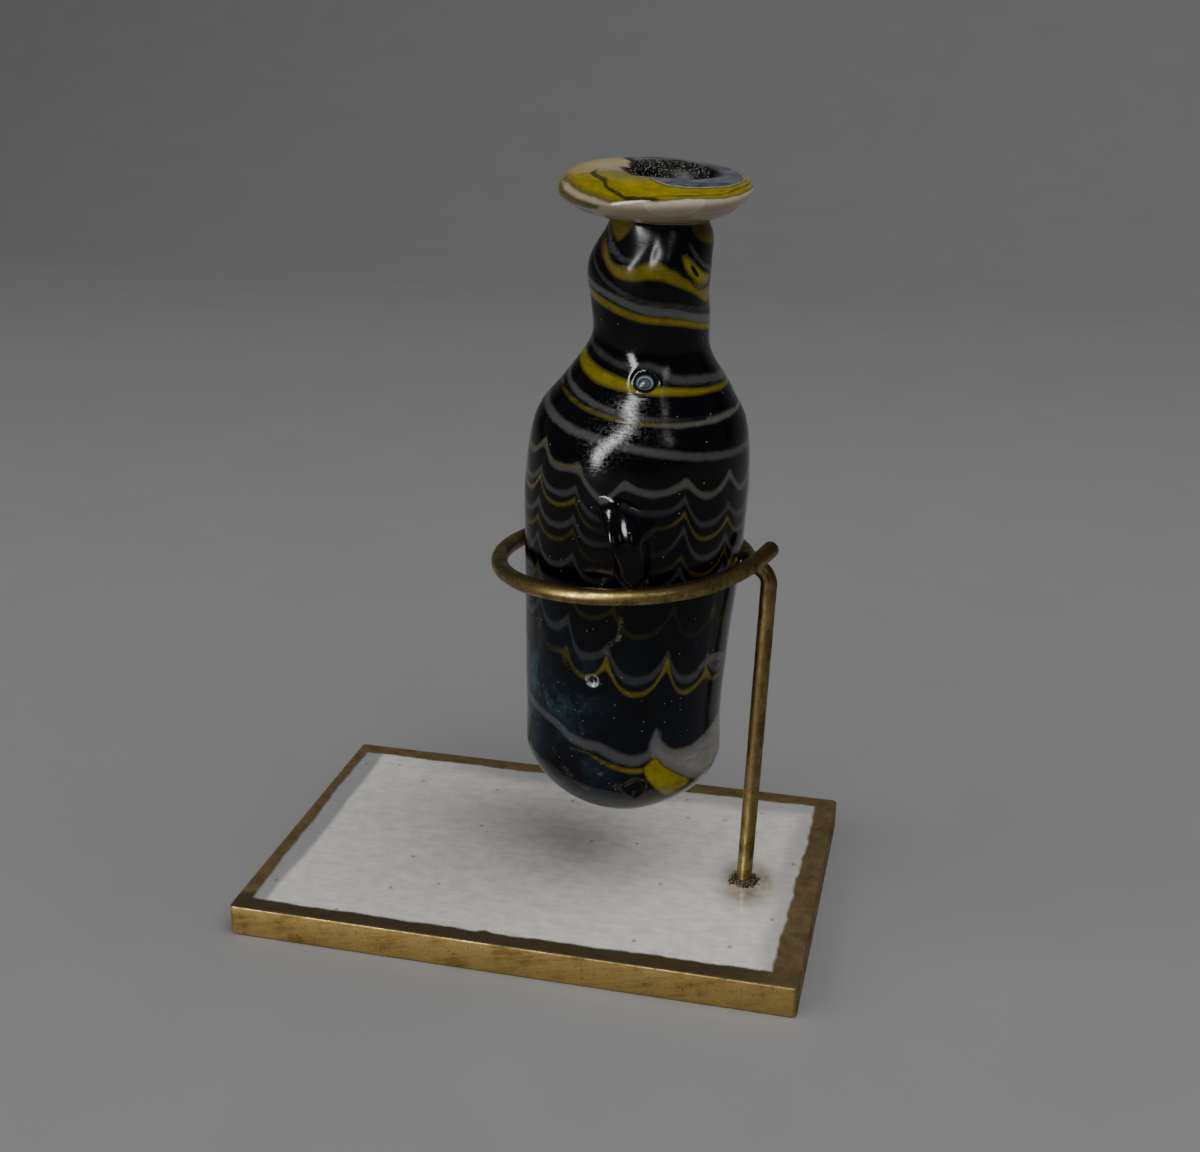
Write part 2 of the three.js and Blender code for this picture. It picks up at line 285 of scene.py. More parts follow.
def lug_rise(azimuth, height, middle_azimuth):
    """How far a lug stands out of the body, in mm: a narrow tail and a wide folded head, softly joined on."""
    ring_lean_x = math.tan(math.radians(LEAN_RIGHT)) + math.tan(math.radians(RING_RISE_RIGHT))
    ring_lean_y = -math.tan(math.radians(LEAN_FORWARD)) + math.tan(math.radians(RING_FALL_BACK))
    facing = math.radians(middle_azimuth)
    rise = RING_RADIUS * (ring_lean_x * math.sin(facing) - ring_lean_y * math.cos(facing))
    up = height - (SEAT_HEIGHT + rise + WIRE_RADIUS + GAP - LUG_SEAT_DROP)
    away = np.radians(turned(azimuth, middle_azimuth))
    sideways = side_radius(height) * np.sin(away)
    outline = catmull(LUG_OUTLINE + LUG_OUTLINE[:1], 90)
    inside = inside_distance(outline, sideways, up)
    head = smoothstep(up, 5, 10)
    softness = 1.25 + 1.9 * head * smoothstep(sideways, -2, 1.5)
    ramp = 1 - 0.8 * smoothstep(up, 6.5, 13.0)
    pad = (LUG_TAIL_DEPTH + 0.7 * head * ramp) * (1 - 0.6 * smoothstep(up, 8, 13))
    pad = pad * smoothstep(inside, -0.35, softness)
    # The folded flap of the head: two ridges with a hollow between, slanting down to the right.
    across = 0.96 * sideways + 0.285 * up
    along = 0.96 * up - 0.285 * sideways
    window = smoothstep(along, 3.0, 7.5) * (1 - smoothstep(along, 7.0, 13.2 - 0.9 * np.maximum(across, 0)))
    flap = 1.55 * hump(across, -0.2, 1.15) + 0.75 * hump(across, 1.9, 0.75) - 0.5 * hump(across, -1.75, 0.35)
    rise = pad + flap * window * smoothstep(inside, -0.2, 0.9)
    return rise * (np.abs(away) < math.radians(40))


def surface_radius(azimuth, height, radius):
    """The outer wall with all its relief, from the plain outline's radius."""
    lumps = 0.09 * waves(azimuth, height, 9.0, 3) + 0.035 * waves(azimuth, height, 2.6, 5, 2)
    lugs = sum(lug_rise(azimuth, height, middle) for middle in (LUG_AZIMUTH, LUG_AZIMUTH + 180))
    wall = radius + lugs + lumps * smoothstep(radius, 2, 8) * (1 - 0.9 * smoothstep(lugs, 0.1, 0.8))
    for middle, level, reach_round, reach_up, out in WALL_SWELLS:
        wall = wall + out * hump(turned(azimuth, middle), 0, reach_round) * hump(height, level, reach_up)
    combed = smoothstep(height, 24, 34) * smoothstep(-height, -60, -55)
    grooves = sum(hump(turned(azimuth, cusp), 0, 2.6) for cusp in CUSPS)
    wall = wall - 0.07 * combed * grooves
    # The drop on the shoulder, a flattened bead in a shallow moat.
    distance = drop_distance(azimuth, height)
    bead = DROP_DEPTH * np.sqrt(np.clip(1 - distance**2, 0, 1))
    moat = -0.16 * hump(distance * DROP_RADIUS, DROP_RADIUS + 0.25, 0.4)
    wall = wall + bead + moat
    # A burst bubble, and the shell-shaped scar of a chip on the round bottom.
    away = np.radians(turned(azimuth, BUBBLE_AZIMUTH)) * side_radius(BUBBLE_HEIGHT)
    distance = np.hypot(away, height - BUBBLE_HEIGHT)
    pit = 0.5 * (1 - smoothstep(distance, 0.2, BUBBLE_RADIUS)) + 0.1 * hump(distance, 0.5, 0.22)
    wall = wall - pit + 0.06 * hump(distance, BUBBLE_RADIUS, 0.15)
    return wall - CHIP_DEPTH * smoothstep(chip_inside(azimuth, height), -0.05, 0.9)


BUBBLE_AZIMUTH, BUBBLE_HEIGHT, BUBBLE_RADIUS = -6.0, 27.9, 1.15
CHIP_DEPTH = 0.4
CHIP_EDGE = ((9, 10.9), (14, 11.7), (19, 12.5), (26, 11.9), (25, 9.8), (20, 8.0), (15, 9.2))
CUSPS_HIGH = (-46, -20, 5, 36, 64)
CUSPS_LOW = (-43, -22, 1, 34, 62)
HIDDEN_CUSPS = 8
CUSP_SPACING = (360 - (CUSPS_HIGH[-1] - CUSPS_HIGH[0])) / (HIDDEN_CUSPS + 1)
CUSPS = CUSPS_HIGH + tuple(CUSPS_HIGH[-1] + CUSP_SPACING * (k + 1) for k in range(HIDDEN_CUSPS))


def chip_inside(azimuth, height):
    """How far inside the chip's scar a place is, in mm."""
    line, x, y = on_skin(CHIP_EDGE, azimuth, height)
    return inside_distance(np.vstack([line, line[:1]]), x, y)


# The threads of coloured glass


KNOTS = (-75, -35, 0, 35, 75)
TURN_END = 285.0


def along_turn(azimuth, values, end_value):
    """A value that follows five azimuths on the front and then runs evenly round the back to its end."""
    place = (azimuth - KNOTS[0]) % 360 + KNOTS[0]
    back = (120, 165, 210, 250)
    share = [(b - KNOTS[-1]) / (TURN_END - KNOTS[-1]) for b in back]
    hidden = [values[-1] + (end_value - values[-1]) * s for s in share]
    places = KNOTS + back + (TURN_END,)
    known = tuple(values) + tuple(hidden) + (end_value,)
    line = catmull(np.array([places, known]).T, 720)
    return np.interp(place, line[:, 0], line[:, 1])


def five(value):
    """Five values for the front, from five or from one."""
    return tuple(value) if isinstance(value, tuple) else (value,) * 5


class Ring:
    """One turn of a thread: its height, half width and strength at the five front azimuths and its end."""

    def __init__(
        self, family, heights, end, half, strength, tone=0.0, soft=1.0, end_half=0.0, end_strength=0.3
    ):
        self.family = family
        self.heights = heights
        self.end = end
        self.half = five(half)
        self.strength = five(strength)
        self.tone = tone
        self.soft = soft
        self.end_half = end_half
        self.end_strength = end_strength

    def field(self, azimuth, height):
        middle = along_turn(azimuth, self.heights, self.end)
        half = along_turn(azimuth, self.half, self.end_half)
        strength = along_turn(azimuth, self.strength, self.end_strength)
        return (half - np.abs(height - middle)) / self.soft, strength


class Festoon:
    """A combed turn: five arcs that hang between the cusps on the front, and like arcs all the way round."""

    def __init__(
        self, family, lows, cusps, half, strength, tone=0.0, spike=0.6, sharpness=2.6, soft=1.0,
        round_top=0.03,
    ):
        self.family = family
        self.half = half
        self.strength = five(strength)
        self.tone = tone
        self.spike = spike
        self.sharpness = sharpness
        self.soft = soft
        self.round_top = round_top
        swag = sum(cusps) / 5 - sum(lows) / 5
        back = [
            lows[4] + (lows[0] - lows[4]) * (0.5 - 0.5 * math.cos(math.pi * (k + 1) / (HIDDEN_CUSPS + 1)))
            for k in range(HIDDEN_CUSPS)
        ]
        self.lows = np.array(list(lows) + back)
        self.cusps = np.array(list(cusps) + [low + swag for low in back])

    def field(self, azimuth, height):
        lowness = 1 - smoothstep(height, 32, 46)
        shift = [high - low for high, low in zip(CUSPS_HIGH, CUSPS_LOW)]
        warp = np.interp(azimuth, (-90,) + CUSPS_LOW + (110,), [0] + shift + [0]) * lowness
        place = (azimuth + warp - CUSPS[0]) % 360 + CUSPS[0]
        edges = np.array(CUSPS + (CUSPS[0] + 360,))
        index = np.clip(np.searchsorted(edges, place, side="right") - 1, 0, len(CUSPS) - 1)
        share = (place - edges[index]) / (edges[index + 1] - edges[index])
        following = (index + 1) % len(CUSPS)
        peak = self.cusps[index] + (self.cusps[following] - self.cusps[index]) * smoothstep(share, 0, 1)
        off = 1 - np.abs(2 * share - 1)
        sag = 1 - (np.hypot(off, self.round_top) - self.round_top)
        middle = self.lows[index] + (peak - self.lows[index]) * sag**self.sharpness
        # The lug, put on after the combing, dragged the threads beside it down to the left of its head.
        dragged = hump(turned(azimuth, -4), 0, 5.0) * smoothstep(height, 49, 55)
        middle = middle - 0.9 * dragged + 0.1 * waves(azimuth, height * 0, 1.0, int(self.lows[0] * 10))
        half = self.half * (1 + self.spike * sag**8)
        strength = along_turn(azimuth, self.strength, self.strength[0])
        # Right of the lug the combed threads are painted fainter, as painted shade beside the lug.
        strength = strength * (1 - 0.7 * hump(turned(azimuth, 23), 0, 11) * hump(height, 48, 6.5))
        return (half - np.abs(height - middle)) / self.soft, strength


def on_skin(points, azimuth, height):
    """A line of azimuths and heights, and the places asked for, laid flat in millimetres."""
    points = np.array(points, float)
    radius = float(side_radius(points[:, 1].mean()))
    middle = (points[:, 0].min() + points[:, 0].max()) / 2
    line = np.stack([np.radians(points[:, 0] - middle) * radius, points[:, 1]], 1)
    return line, np.radians(turned(azimuth, middle)) * radius, height


def distance_to_line(line, x, y):
    """How far places are from a line, and how far along it, from 0 to 1, their nearest point is."""
    nearest = np.full(x.shape, 99.0)
    along = np.zeros(x.shape)
    for k in range(len(line) - 1):
        start, way = line[k], line[k + 1] - line[k]
        share = np.clip(((x - start[0]) * way[0] + (y - start[1]) * way[1]) / max(way @ way, 1e-9), 0, 1)
        gap = np.hypot(x - start[0] - share * way[0], y - start[1] - share * way[1])
        closer = gap < nearest
        nearest = np.where(closer, gap, nearest)
        along = np.where(closer, (k + share) / (len(line) - 1), along)
    return nearest, along


def inside_distance(closed, x, y):
    """How far inside a closed line places are, and below nought outside it."""
    distance, _ = distance_to_line(closed, x, y)
    inside = np.zeros(x.shape, bool)
    for (x0, y0), (x1, y1) in zip(closed[:-1], closed[1:]):
        crosses = (y0 > y) != (y1 > y)
        at = x0 + (y - y0) / (y1 - y0 if y1 != y0 else 1) * (x1 - x0)
        inside ^= crosses & (x < at)
    return np.where(inside, distance, -distance)


class Stroke:
    """A piece of thread drawn through azimuths and heights, with a half width at its ends and middle."""

    def __init__(self, family, line, half, strength, tone=0.0, soft=1.0):
        self.family = family
        self.line = line
        self.half = half
        self.strength = strength
        self.tone = tone
        self.soft = soft

    def field(self, azimuth, height):
        line, x, y = on_skin(self.line, azimuth, height)
        distance, along = distance_to_line(catmull(line, 5 * len(line)), x, y)
        half = np.interp(along, np.linspace(0, 1, len(self.half)), self.half)
        return (half - distance) / self.soft, np.full(x.shape, self.strength)


class Blot:
    """A patch of coloured glass inside a closed line drawn through azimuths and heights."""

    def __init__(self, family, line, strength, tone=0.0, soft=1.0):
        self.family = family
        self.line = line
        self.strength = strength
        self.tone = tone
        self.soft = soft

    def field(self, azimuth, height):
        line, x, y = on_skin(self.line, azimuth, height)
        closed = catmull(np.vstack([line, line[:1]]), 5 * len(line))
        return inside_distance(closed, x, y) / self.soft, np.full(x.shape, self.strength)


YELLOW, PALE, DARK = "yellow", "pale", "dark"
# How warm a pale thread is, from grey at 0 to cream at 1.
GREY, CREAM = 0.1, 1.0

THREADS = (
    # Round the neck.
    Ring(
        YELLOW, (88.2, 84.95, 84.7, 83.75, 80.9), 80.4, (0.15, 0.3, 0.6, 0.6, 0.9), 0.75, end_half=0.75,
        end_strength=0.8,
    ),
    Blot(
        YELLOW,
        (
            (-64, 88.2), (-43, 86.5), (-33, 85.5), (-23, 85.05), (-12, 85.0), (-4, 85.3), (4, 85.9),
            (12, 86.2), (21, 85.7), (28, 85.1), (36, 84.6), (50, 82.9), (62, 82.2), (80, 81.9),
            (86, 80.5), (77, 79.8), (50, 81.8), (35, 82.8), (22, 83.5), (10, 83.65), (-2, 83.3),
            (-12, 83.2), (-23, 83.5), (-32, 84.2), (-42, 85.2), (-60, 87.4),
        ),
        0.75,
    ),
    Ring(PALE, (86.3, 82.9, 80.95, 80.3, 79.1), 78.6, 0.16, (0.3, 0.3, 0.22, 0.2, 0.2), GREY, soft=1.8),
    Stroke(PALE, ((-150, 82.9), (-112, 82.5), (-76, 81.9)), (0.02, 0.2, 0.3), 0.5, GREY, soft=1.5),
    Ring(
        PALE, (81.9, 81.05, 79.85, 79.2, 77.7), 74.0, (0.3, 0.42, 0.55, 0.55, 0.6), 0.55, GREY, soft=1.5,
        end_half=0.3,
    ),
    Ring(
        YELLOW, (80.4, 79.55, 78.5, 78.1, 76.7), 71.5, (0.75, 0.7, 0.6, 0.55, 0.5), 0.8, end_half=0.8,
        end_strength=0.85,
    ),
    Stroke(
        PALE, ((-70, 89.0), (-53, 88.0), (-41, 86.9), (-28, 86.2), (-17, 85.8), (-4, 86.1)),
        (0.3, 0.25, 0.1), 0.45, soft=1.6,
    ),
    Stroke(
        PALE, ((46, 88.0), (51, 87.1), (58, 86.1), (69, 85.0), (90, 84.0)), (0.1, 0.22, 0.22), 0.45,
        soft=1.4,
    ),
    Blot(
        YELLOW,
        (
            (-71, 89.6), (-55, 92), (-20, 92), (-15, 90.4), (-22, 89.5), (-28, 88.6), (-36, 87.6),
            (-50, 88.3),
        ),
        0.7,
    ),
    Blot(YELLOW, ((50, 90.0), (58, 92), (90, 92), (95, 89), (90, 87.3), (66, 87.9), (54, 88.8)), 0.45),
    Blot(
        YELLOW,
        (
            (36, 86.9), (46, 86.5), (56, 85.4), (68, 84.2), (84, 83.4), (76, 82.4), (60, 82.6),
            (50, 83.7), (42, 85.0),
        ),
        0.9,
    ),
    Blot(DARK, ((48, 85.7), (52, 85.2), (57, 84.2), (56, 83.8), (50, 84.7)), 1.0),
    Stroke(
        DARK, ((25, 85.5), (36, 85.0), (45, 84.0), (54, 82.6), (66, 81.95), (82, 82.2)),
        (0.05, 0.13, 0.1), 0.9,
    ),
    # At the foot of the neck.
    Ring(
        YELLOW, (71.5, 70.2, 69.6, 69.3, 68.85), 67.4, (0.8, 0.85, 0.72, 0.5, 0.34),
        (0.85, 0.85, 0.85, 0.8, 0.7), end_half=0.2,
    ),
    Stroke(
        PALE,
        (
            (-74, 74.0), (-60, 73.2), (-41, 72.6), (-24, 72.1), (-10, 71.9), (8, 72.3), (22, 71.7),
            (33, 70.7), (57, 70.3), (85, 69.8), (130, 69.5), (180, 69.2), (230, 69.0), (284, 68.7),
        ),
        (0.3, 0.25, 0.2, 0.35, 0.4, 0.4, 0.3, 0.25), 0.24, 0.2, soft=2.2,
    ),
    Stroke(
        DARK,
        (
            (-66, 72.9), (-41, 72.0), (-24, 71.45), (-10, 71.15), (-2, 71.4), (8, 71.7), (17, 71.3),
            (25, 70.4), (33, 69.95), (57, 69.8), (85, 69.25),
        ),
        (0.1, 0.11, 0.12, 0.12, 0.1), 0.85,
    ),
    # On the shoulder.
    Ring(
        PALE, (68.7, 67.35, 66.4, 66.1, 66.0), 65.0, (0.25, 0.3, 0.26, 0.15, 0.05),
        (0.4, 0.4, 0.3, 0.1, 0), GREY, soft=1.4, end_half=0.42, end_strength=0.35,
    ),
    Ring(
        YELLOW, (67.4, 66.4, 65.75, 65.55, 65.6), 64.9, (0.2, 0.24, 0.22, 0.2, 0.28),
        (0.35, 0.7, 0.7, 0.2, 0.15),
    ),
    Ring(
        PALE, (67.4, 66.4, 65.8, 65.6, 65.65), 64.9, (0, 0, 0.1, 0.26, 0.3), (0, 0, 0.1, 0.38, 0.38), 0.2,
        soft=1.4,
    ),
    Ring(
        PALE, (64.9, 63.75, 63.0, 61.85, 60.8), 59.9, (0.42, 0.42, 0.42, 0.42, 0.4),
        (0.35, 0.42, 0.42, 0.34, 0.3), GREY, soft=1.8,
    ),
    # Combed into festoons round the body.
    Festoon(
        YELLOW, (58.9, 56.5, 57.1, 56.2, 55.8), (61.2, 59.4, 58.2, 58.4, 58.1), 0.3,
        (0.7, 0.5, 0.0, 0.15, 0.2),
    ),
    Festoon(
        PALE, (58.6, 56.3, 56.9, 56.0, 55.3), (60.8, 59.2, 58.0, 58.2, 58.1), 0.4,
        (0.5, 0.46, 0.42, 0.4, 0.38), 0.15, soft=1.8, round_top=0.16,
    ),
    Festoon(
        PALE, (54.9, 53.2, 54.3, 52.0, 51.5), (57.0, 56.2, 55.0, 56.0, 53.8), 0.34,
        (0.42, 0.38, 0.14, 0.22, 0.22), soft=1.7,
    ),
    Festoon(
        YELLOW, (53.3, 51.5, 52.1, 49.9, 49.0), (56.0, 54.7, 53.0, 54.0, 51.8), 0.34,
        (0.95, 0.75, 0.05, 0.5, 0.6),
    ),
    Festoon(
        PALE, (50.2, 49.2, 48.3, 47.0, 46.0), (52.4, 52.0, 50.5, 51.8, 49.2), 0.36,
        (0.42, 0.34, 0.14, 0.28, 0.24), soft=1.8,
    ),
    Festoon(
        YELLOW, (48.0, 46.6, 45.6, 44.4, 43.8), (49.9, 50.2, 48.5, 47.6, 47.2), 0.34,
        (0.75, 0.4, 0.04, 0.3, 0.4), soft=1.3,
    ),
    Festoon(
        PALE, (44.3, 43.6, 43.0, 42.2, 41.5), (47.2, 46.4, 45.5, 45.6, 44.8), 0.36,
        (0.36, 0.3, 0.1, 0.2, 0.18), soft=1.9,
    ),
    Festoon(
        YELLOW, (39.9, 37.9, 35.7, 35.0, 34.4), (42.6, 40.6, 39.7, 39.8, 38.0), 0.4,
        (0.2, 0.25, 0.32, 0.14, 0.2), spike=1.4, soft=1.6,
    ),
    Festoon(
        PALE, (34.6, 31.5, 28.5, 27.8, 27.3), (38.0, 36.7, 33.3, 32.2, 30.2), 0.55,
        (0.2, 0.26, 0.28, 0.3, 0.4), soft=2.4,
    ),
    Festoon(
        YELLOW, (30.9, 28.3, 26.3, 25.7, 25.5), (34.1, 31.4, 31.2, 31.0, 27.9), 0.5,
        (0.03, 0.12, 0.62, 0.66, 0.5), spike=1.7,
    ),
    Stroke(YELLOW, ((-43.5, 42.8), (-43, 41.2), (-41, 40.0)), (0.02, 0.22, 0.02), 0.75),
    Stroke(YELLOW, ((60.5, 38.2), (61, 37.0), (63, 36.2)), (0.02, 0.25, 0.02), 0.6),
    Stroke(YELLOW, ((-25, 31.6), (-23, 29.6), (-19, 28.4)), (0.05, 0.3, 0.05), 0.35, soft=1.3),
    Stroke(PALE, ((56, 28.9), (66, 29.6), (80, 28.4)), (0.3, 0.8, 0.4), 0.4, 0.35, soft=1.5),
    # The last turns, on the round bottom.
    Stroke(
        PALE,
        (
            (-150, 21.0), (-105, 20.2), (-75, 19.6), (-60, 19.3), (-40, 19.1), (-27, 18.6), (-19, 17.5),
            (-9, 17.0), (-2, 17.0), (4, 16.4), (13, 15.5), (21, 15.5), (28, 16.6), (32, 19.6),
        ),
        (0.03, 0.4, 0.5, 0.65, 0.75, 0.75, 0.35), 0.5, 0.05, soft=2.6,
    ),
    Blot(
        PALE,
        (
            (31, 20.4), (33.5, 18.6), (39, 16.9), (44, 16.3), (55, 16.1), (68, 16.9), (86, 18), (110, 17),
            (118, 13), (100, 10.5), (76, 9.8), (67, 9.1), (52, 11.2), (43, 12.8), (35, 14.2), (30, 15.4),
            (27, 17.0),
        ),
        0.72, 0.12, soft=2.2,
    ),
    Stroke(
        YELLOW, ((34, 17.9), (40, 16.9), (46, 16.25), (54, 16.3), (60, 16.9)), (0.04, 0.16, 0.04), 0.5,
        soft=1.3,
    ),
    Stroke(
        YELLOW, ((-17, 15.7), (-9, 15.6), (-2, 15.0), (4, 14.35), (11, 13.85), (18, 13.6), (25, 13.8)),
        (0.08, 0.3, 0.45, 0.5), 0.85,
    ),
    Blot(
        YELLOW,
        (
            (23.5, 14.2), (31, 15.7), (35, 14.4), (43, 12.7), (53, 10.8), (51, 9.3), (40, 8.5),
            (31, 10.4), (25, 12.6),
        ),
        1.0, soft=0.8,
    ),
    Stroke(DARK, ((24, 14.6), (23.6, 13.6), (24.6, 12.6)), (0.1, 0.08, 0.1), 0.8),
)


def rim_fields(azimuth, arc):
    """Inside distances of yellow, pale and dark glass on the rim, and the grey of a painted reflection on its
    top, by the arc from the throat in mm.
    """
    wrap = turned(azimuth, 0)

    def edge(azimuths, arcs, wave, seed):
        return np.interp(wrap, azimuths, arcs) + wave * waves(azimuth, arc * 0, 1.0, seed, 2)

    def drawn(start, end, fade):
        return smoothstep(wrap, start - fade, start + fade) * (1 - smoothstep(wrap, end - fade, end + fade))

    low = edge(
        (-180, -110, -80, -62, -50, -40, -32, -24, -16, -6, 6, 30, 53, 78, 120, 180),
        (7.8, 6.8, 5.6, 5.6, 6.3, 6.7, 6.7, 7.0, 7.9, 8.2, 8.4, 8.6, 8.2, 8.1, 8.0, 7.8),
        0.05,
        17,
    )
    top = edge(
        (-180, -140, -112, -99, -85, -76, -66, -50, -30, -20, -6, 1, 16, 30, 50, 66, 90, 130, 180),
        (12.0, 12.0, 15.6, 15.6, 14.2, 14.9, 15.2, 15.4, 15.2, 14.8)
        + (13.4, 12.4, 11.2, 10.75, 10.7, 10.1, 9.85, 10.8, 12.0),
        0.08,
        19,
    )
    yellow = np.minimum(arc - low, top - arc)
    yellow = yellow - 1.2 * smoothstep(np.abs(wrap), 100, 140)
    # A streak of cream peels off to the left through the yellow.
    peel = edge(
        (-75, -60, -52, -44, -36, -28, -21, -14, -6), (9.3, 8.8, 8.6, 8.4, 8.2, 8.1, 7.9, 7.6, 7.4), 0.04, 39
    )
    peeled = 0.4 * drawn(-60, -8, 8) - np.abs(arc - peel)
    yellow = np.minimum(yellow, np.where(drawn(-68, -2, 1) > 0.5, -peeled, 3))
    yellow = np.maximum(yellow, 0.6 * (4.5 - arc))
    cream = np.minimum(arc - 1.2, low + 0.35 - arc)
    cream = np.maximum(cream, peeled + 0.3)
    rind = 0.13 - np.abs(arc - top - 0.12)
    rind = np.where((wrap > -8) & (wrap < 130), rind, -3)
    cream = np.maximum(cream, rind)
    # The grey on the rim's top, between the yellow and the mouth, is a painted reflection.
    grey = smoothstep(arc - top, 0.0, 0.5) * (1 - smoothstep(arc, 14.2, 15.4))
    fold = edge(
        (-75, -60, -50, -36, -29, -22, -12, -6, 4, 30),
        (13.0, 12.2, 11.5, 11.3, 10.9, 10.0, 9.2, 8.7, 8.5, 8.9),
        0.06,
        41,
    )
    dark = 0.2 * drawn(-62, 12, 6) + 0.08 * hump(wrap, -38, 12) - np.abs(arc - fold)
    second = edge((-40, -29, -14, -8, 2, 14, 60), (12.2, 11.3, 10.1, 9.0, 8.85, 9.1, 9.0), 0.03, 43)
    dark = np.maximum(dark, 0.09 * drawn(-12, 64, 6) - np.abs(arc - second))
    third = edge((20, 50, 66, 90), (9.9, 9.6, 9.2, 9.1), 0.03, 47)
    dark = np.maximum(dark, 0.04 * drawn(20, 88, 6) - np.abs(arc - third))
    # The dark band on the lip's underside on the left is painted shade.
    under = 0.6 * drawn(-75, -36, 8) - np.abs(arc - 5.4)
    dark = np.maximum(dark, under)
    lens = rim_lens(wrap, arc)
    paleness = 0.6 * drawn(-150, -60, 16) * smoothstep(arc, 8.5, 13.5)
    paleness = paleness + 0.35 * smoothstep(np.abs(wrap), 120, 160)
    paleness = np.maximum(paleness, 0.62 * (arc < 5.5))
    black = edge(
        (-180, -150, -125, -108, -88, -60, 60, 95, 120, 135, 150, 180),
        (13.3, 13.4, 13.9, 14.6, 15.8, 16.4, 17.0, 17.4, 16.6, 15.6, 14.4, 13.3),
        0.1,
        53,
    )
    return yellow, cream, grey, dark, lens, paleness, smoothstep(arc - black, -0.3, 0.4)


def rim_lens(wrap, arc):
    """How far inside the clear-edged gather of cream that overlaps the rim's front, in mm."""
    right = np.radians(wrap - 23) * RIM_RADIUS / 3.9
    up = (arc - 8.7) / 2.7
    inside = (1 - np.hypot(right, np.minimum(up, 0))) * 3.0
    return np.minimum(inside, 8.6 - arc)


# The inside distance where a colour is absent, the distance where a mark is absent, and the arc past the
# throat at which the body's threads end and the rim's colours begin.
OUTSIDE = -3.0
FAR_OFF = 9.0
RIM_START = 1.6


def glass_fields(azimuth, height, rim_arc, inner):
    """Every coloured field of the glass, one value for each vertex."""
    none = np.full_like(height, OUTSIDE)
    inside = {YELLOW: none.copy(), PALE: none.copy(), DARK: none.copy()}
    strength = {YELLOW: none * 0, PALE: none * 0, DARK: none * 0}
    tone = none * 0
    on_body = rim_arc < RIM_START
    added = np.where(inner, 0, lug_share(azimuth, height))
    threaded = 1 - added
    for thread in THREADS:
        field, amount = thread.field(azimuth, height)
        field = np.where(on_body & ~inner, field, OUTSIDE)
        nearer = field > inside[thread.family]
        inside[thread.family] = np.where(nearer, field, inside[thread.family])
        strength[thread.family] = np.where(nearer, amount * threaded, strength[thread.family])
        if thread.family == PALE:
            tone = np.where(nearer, thread.tone, tone)
    yellow, cream, grey, dark, lens, paleness, mouth = rim_fields(azimuth, rim_arc)
    on_rim = ~on_body & ~inner
    # On the rim's left the colours melt into each other, and on its right they are crisp.
    melted = 1 + 1.3 * (1 - smoothstep(turned(azimuth, 0), -35, 10))
    yellow, cream = yellow / melted, cream / melted
    inside[YELLOW] = np.where(on_rim, yellow, inside[YELLOW])
    strength[YELLOW] = np.where(on_rim, 0.92 - paleness, strength[YELLOW])
    cream = np.where(paleness > 0.1, np.maximum(cream, yellow), cream)
    inside[PALE] = np.where(on_rim, cream, inside[PALE])
    strength[PALE] = np.where(on_rim, 1.0 - 0.2 * paleness, strength[PALE])
    tone = np.where(on_rim, CREAM, tone)
    inside[DARK] = np.where(on_rim, dark, inside[DARK])
    strength[DARK] = np.where(on_rim, 0.85, strength[DARK])
    lowness = 1 - smoothstep(height, 18, 44)
    left = hump(turned(azimuth, -48), 0, 33)
    veil = lowness * (0.3 + 0.7 * left)
    body = np.where(inner | (rim_arc > 0.8), 0, 1)
    return {
        "yellow_in": inside[YELLOW],
        "yellow_strength": strength[YELLOW],
        "pale_in": inside[PALE],
        "pale_strength": strength[PALE],
        "pale_tone": tone,
        "dark_in": inside[DARK],
        "dark_strength": strength[DARK],
        "lip_grey": np.where(on_rim, grey, 0),
        "gather_in": np.where(on_rim, lens, OUTSIDE),
        "veil": veil * body,
        "left_weather": left * (1 - smoothstep(height, 27, 38)) * body,
        "height": height,
        "scar_in": np.where(inner, OUTSIDE, chip_inside(azimuth, height)),
        "drop_at": np.where(inner, FAR_OFF, drop_distance(azimuth, height)),
        "plain_skin": added,
        "bubble_at": np.where(inner, FAR_OFF, bubble_distance(azimuth, height)),
        "shoulder": hump(height, 65, 6) * body,
        "mouth": np.where(inner, 1.0, np.where(on_rim, mouth, 0)),
        "crack": crack_share(azimuth, height) * body,
    }


def bubble_distance(azimuth, height):
    """How far along the skin a place is from the burst bubble's middle, as a share of its radius."""
    away = np.radians(turned(azimuth, BUBBLE_AZIMUTH)) * LOWER_RADIUS
    return np.hypot(away, height - BUBBLE_HEIGHT) / BUBBLE_RADIUS


def drop_distance(azimuth, height):
    """How far along the skin a place is from the drop's middle, as a share of the drop's radius."""
    away = np.radians(turned(azimuth, DROP_AZIMUTH)) * side_radius(DROP_HEIGHT)
    return np.hypot(away, (height - DROP_HEIGHT) * DROP_SLOPE) / DROP_RADIUS


def lug_share(azimuth, height):
    """1 on the lugs and the drop, which were added after the body was combed, and 0 elsewhere."""
    total = (drop_distance(azimuth, height) < 1.1) * 1.0
    for middle in (LUG_AZIMUTH, LUG_AZIMUTH + 180):
        total = np.maximum(total, smoothstep(lug_rise(azimuth, height, middle), 0.15, 0.9))
    return total


# Dusty cracks in the glass: each a line of azimuths and heights with its half width.
CRACKS = (
    (((7, 40.0), (8, 37.6), (7, 35.2), (3, 34.2), (-1, 33.4), (2, 32.6)), 0.3, 0.8),
    (((-2, 44.2), (-5, 41.8), (-6.5, 41.2)), 0.12, 1.0),
    (((19.5, 44.6), (19.8, 41.2)), 0.08, 1.0),
    (((-18, 15.8), (-10, 13.9), (-2, 12.9), (4, 12.1), (9, 10.7)), 0.16, 0.55),
    (((-8, 24.5), (-14, 21.5), (-11, 18.5)), 0.14, 0.35),
    (((-25, 12.0), (-12, 9.6), (2, 9.2)), 0.3, 0.5),
)


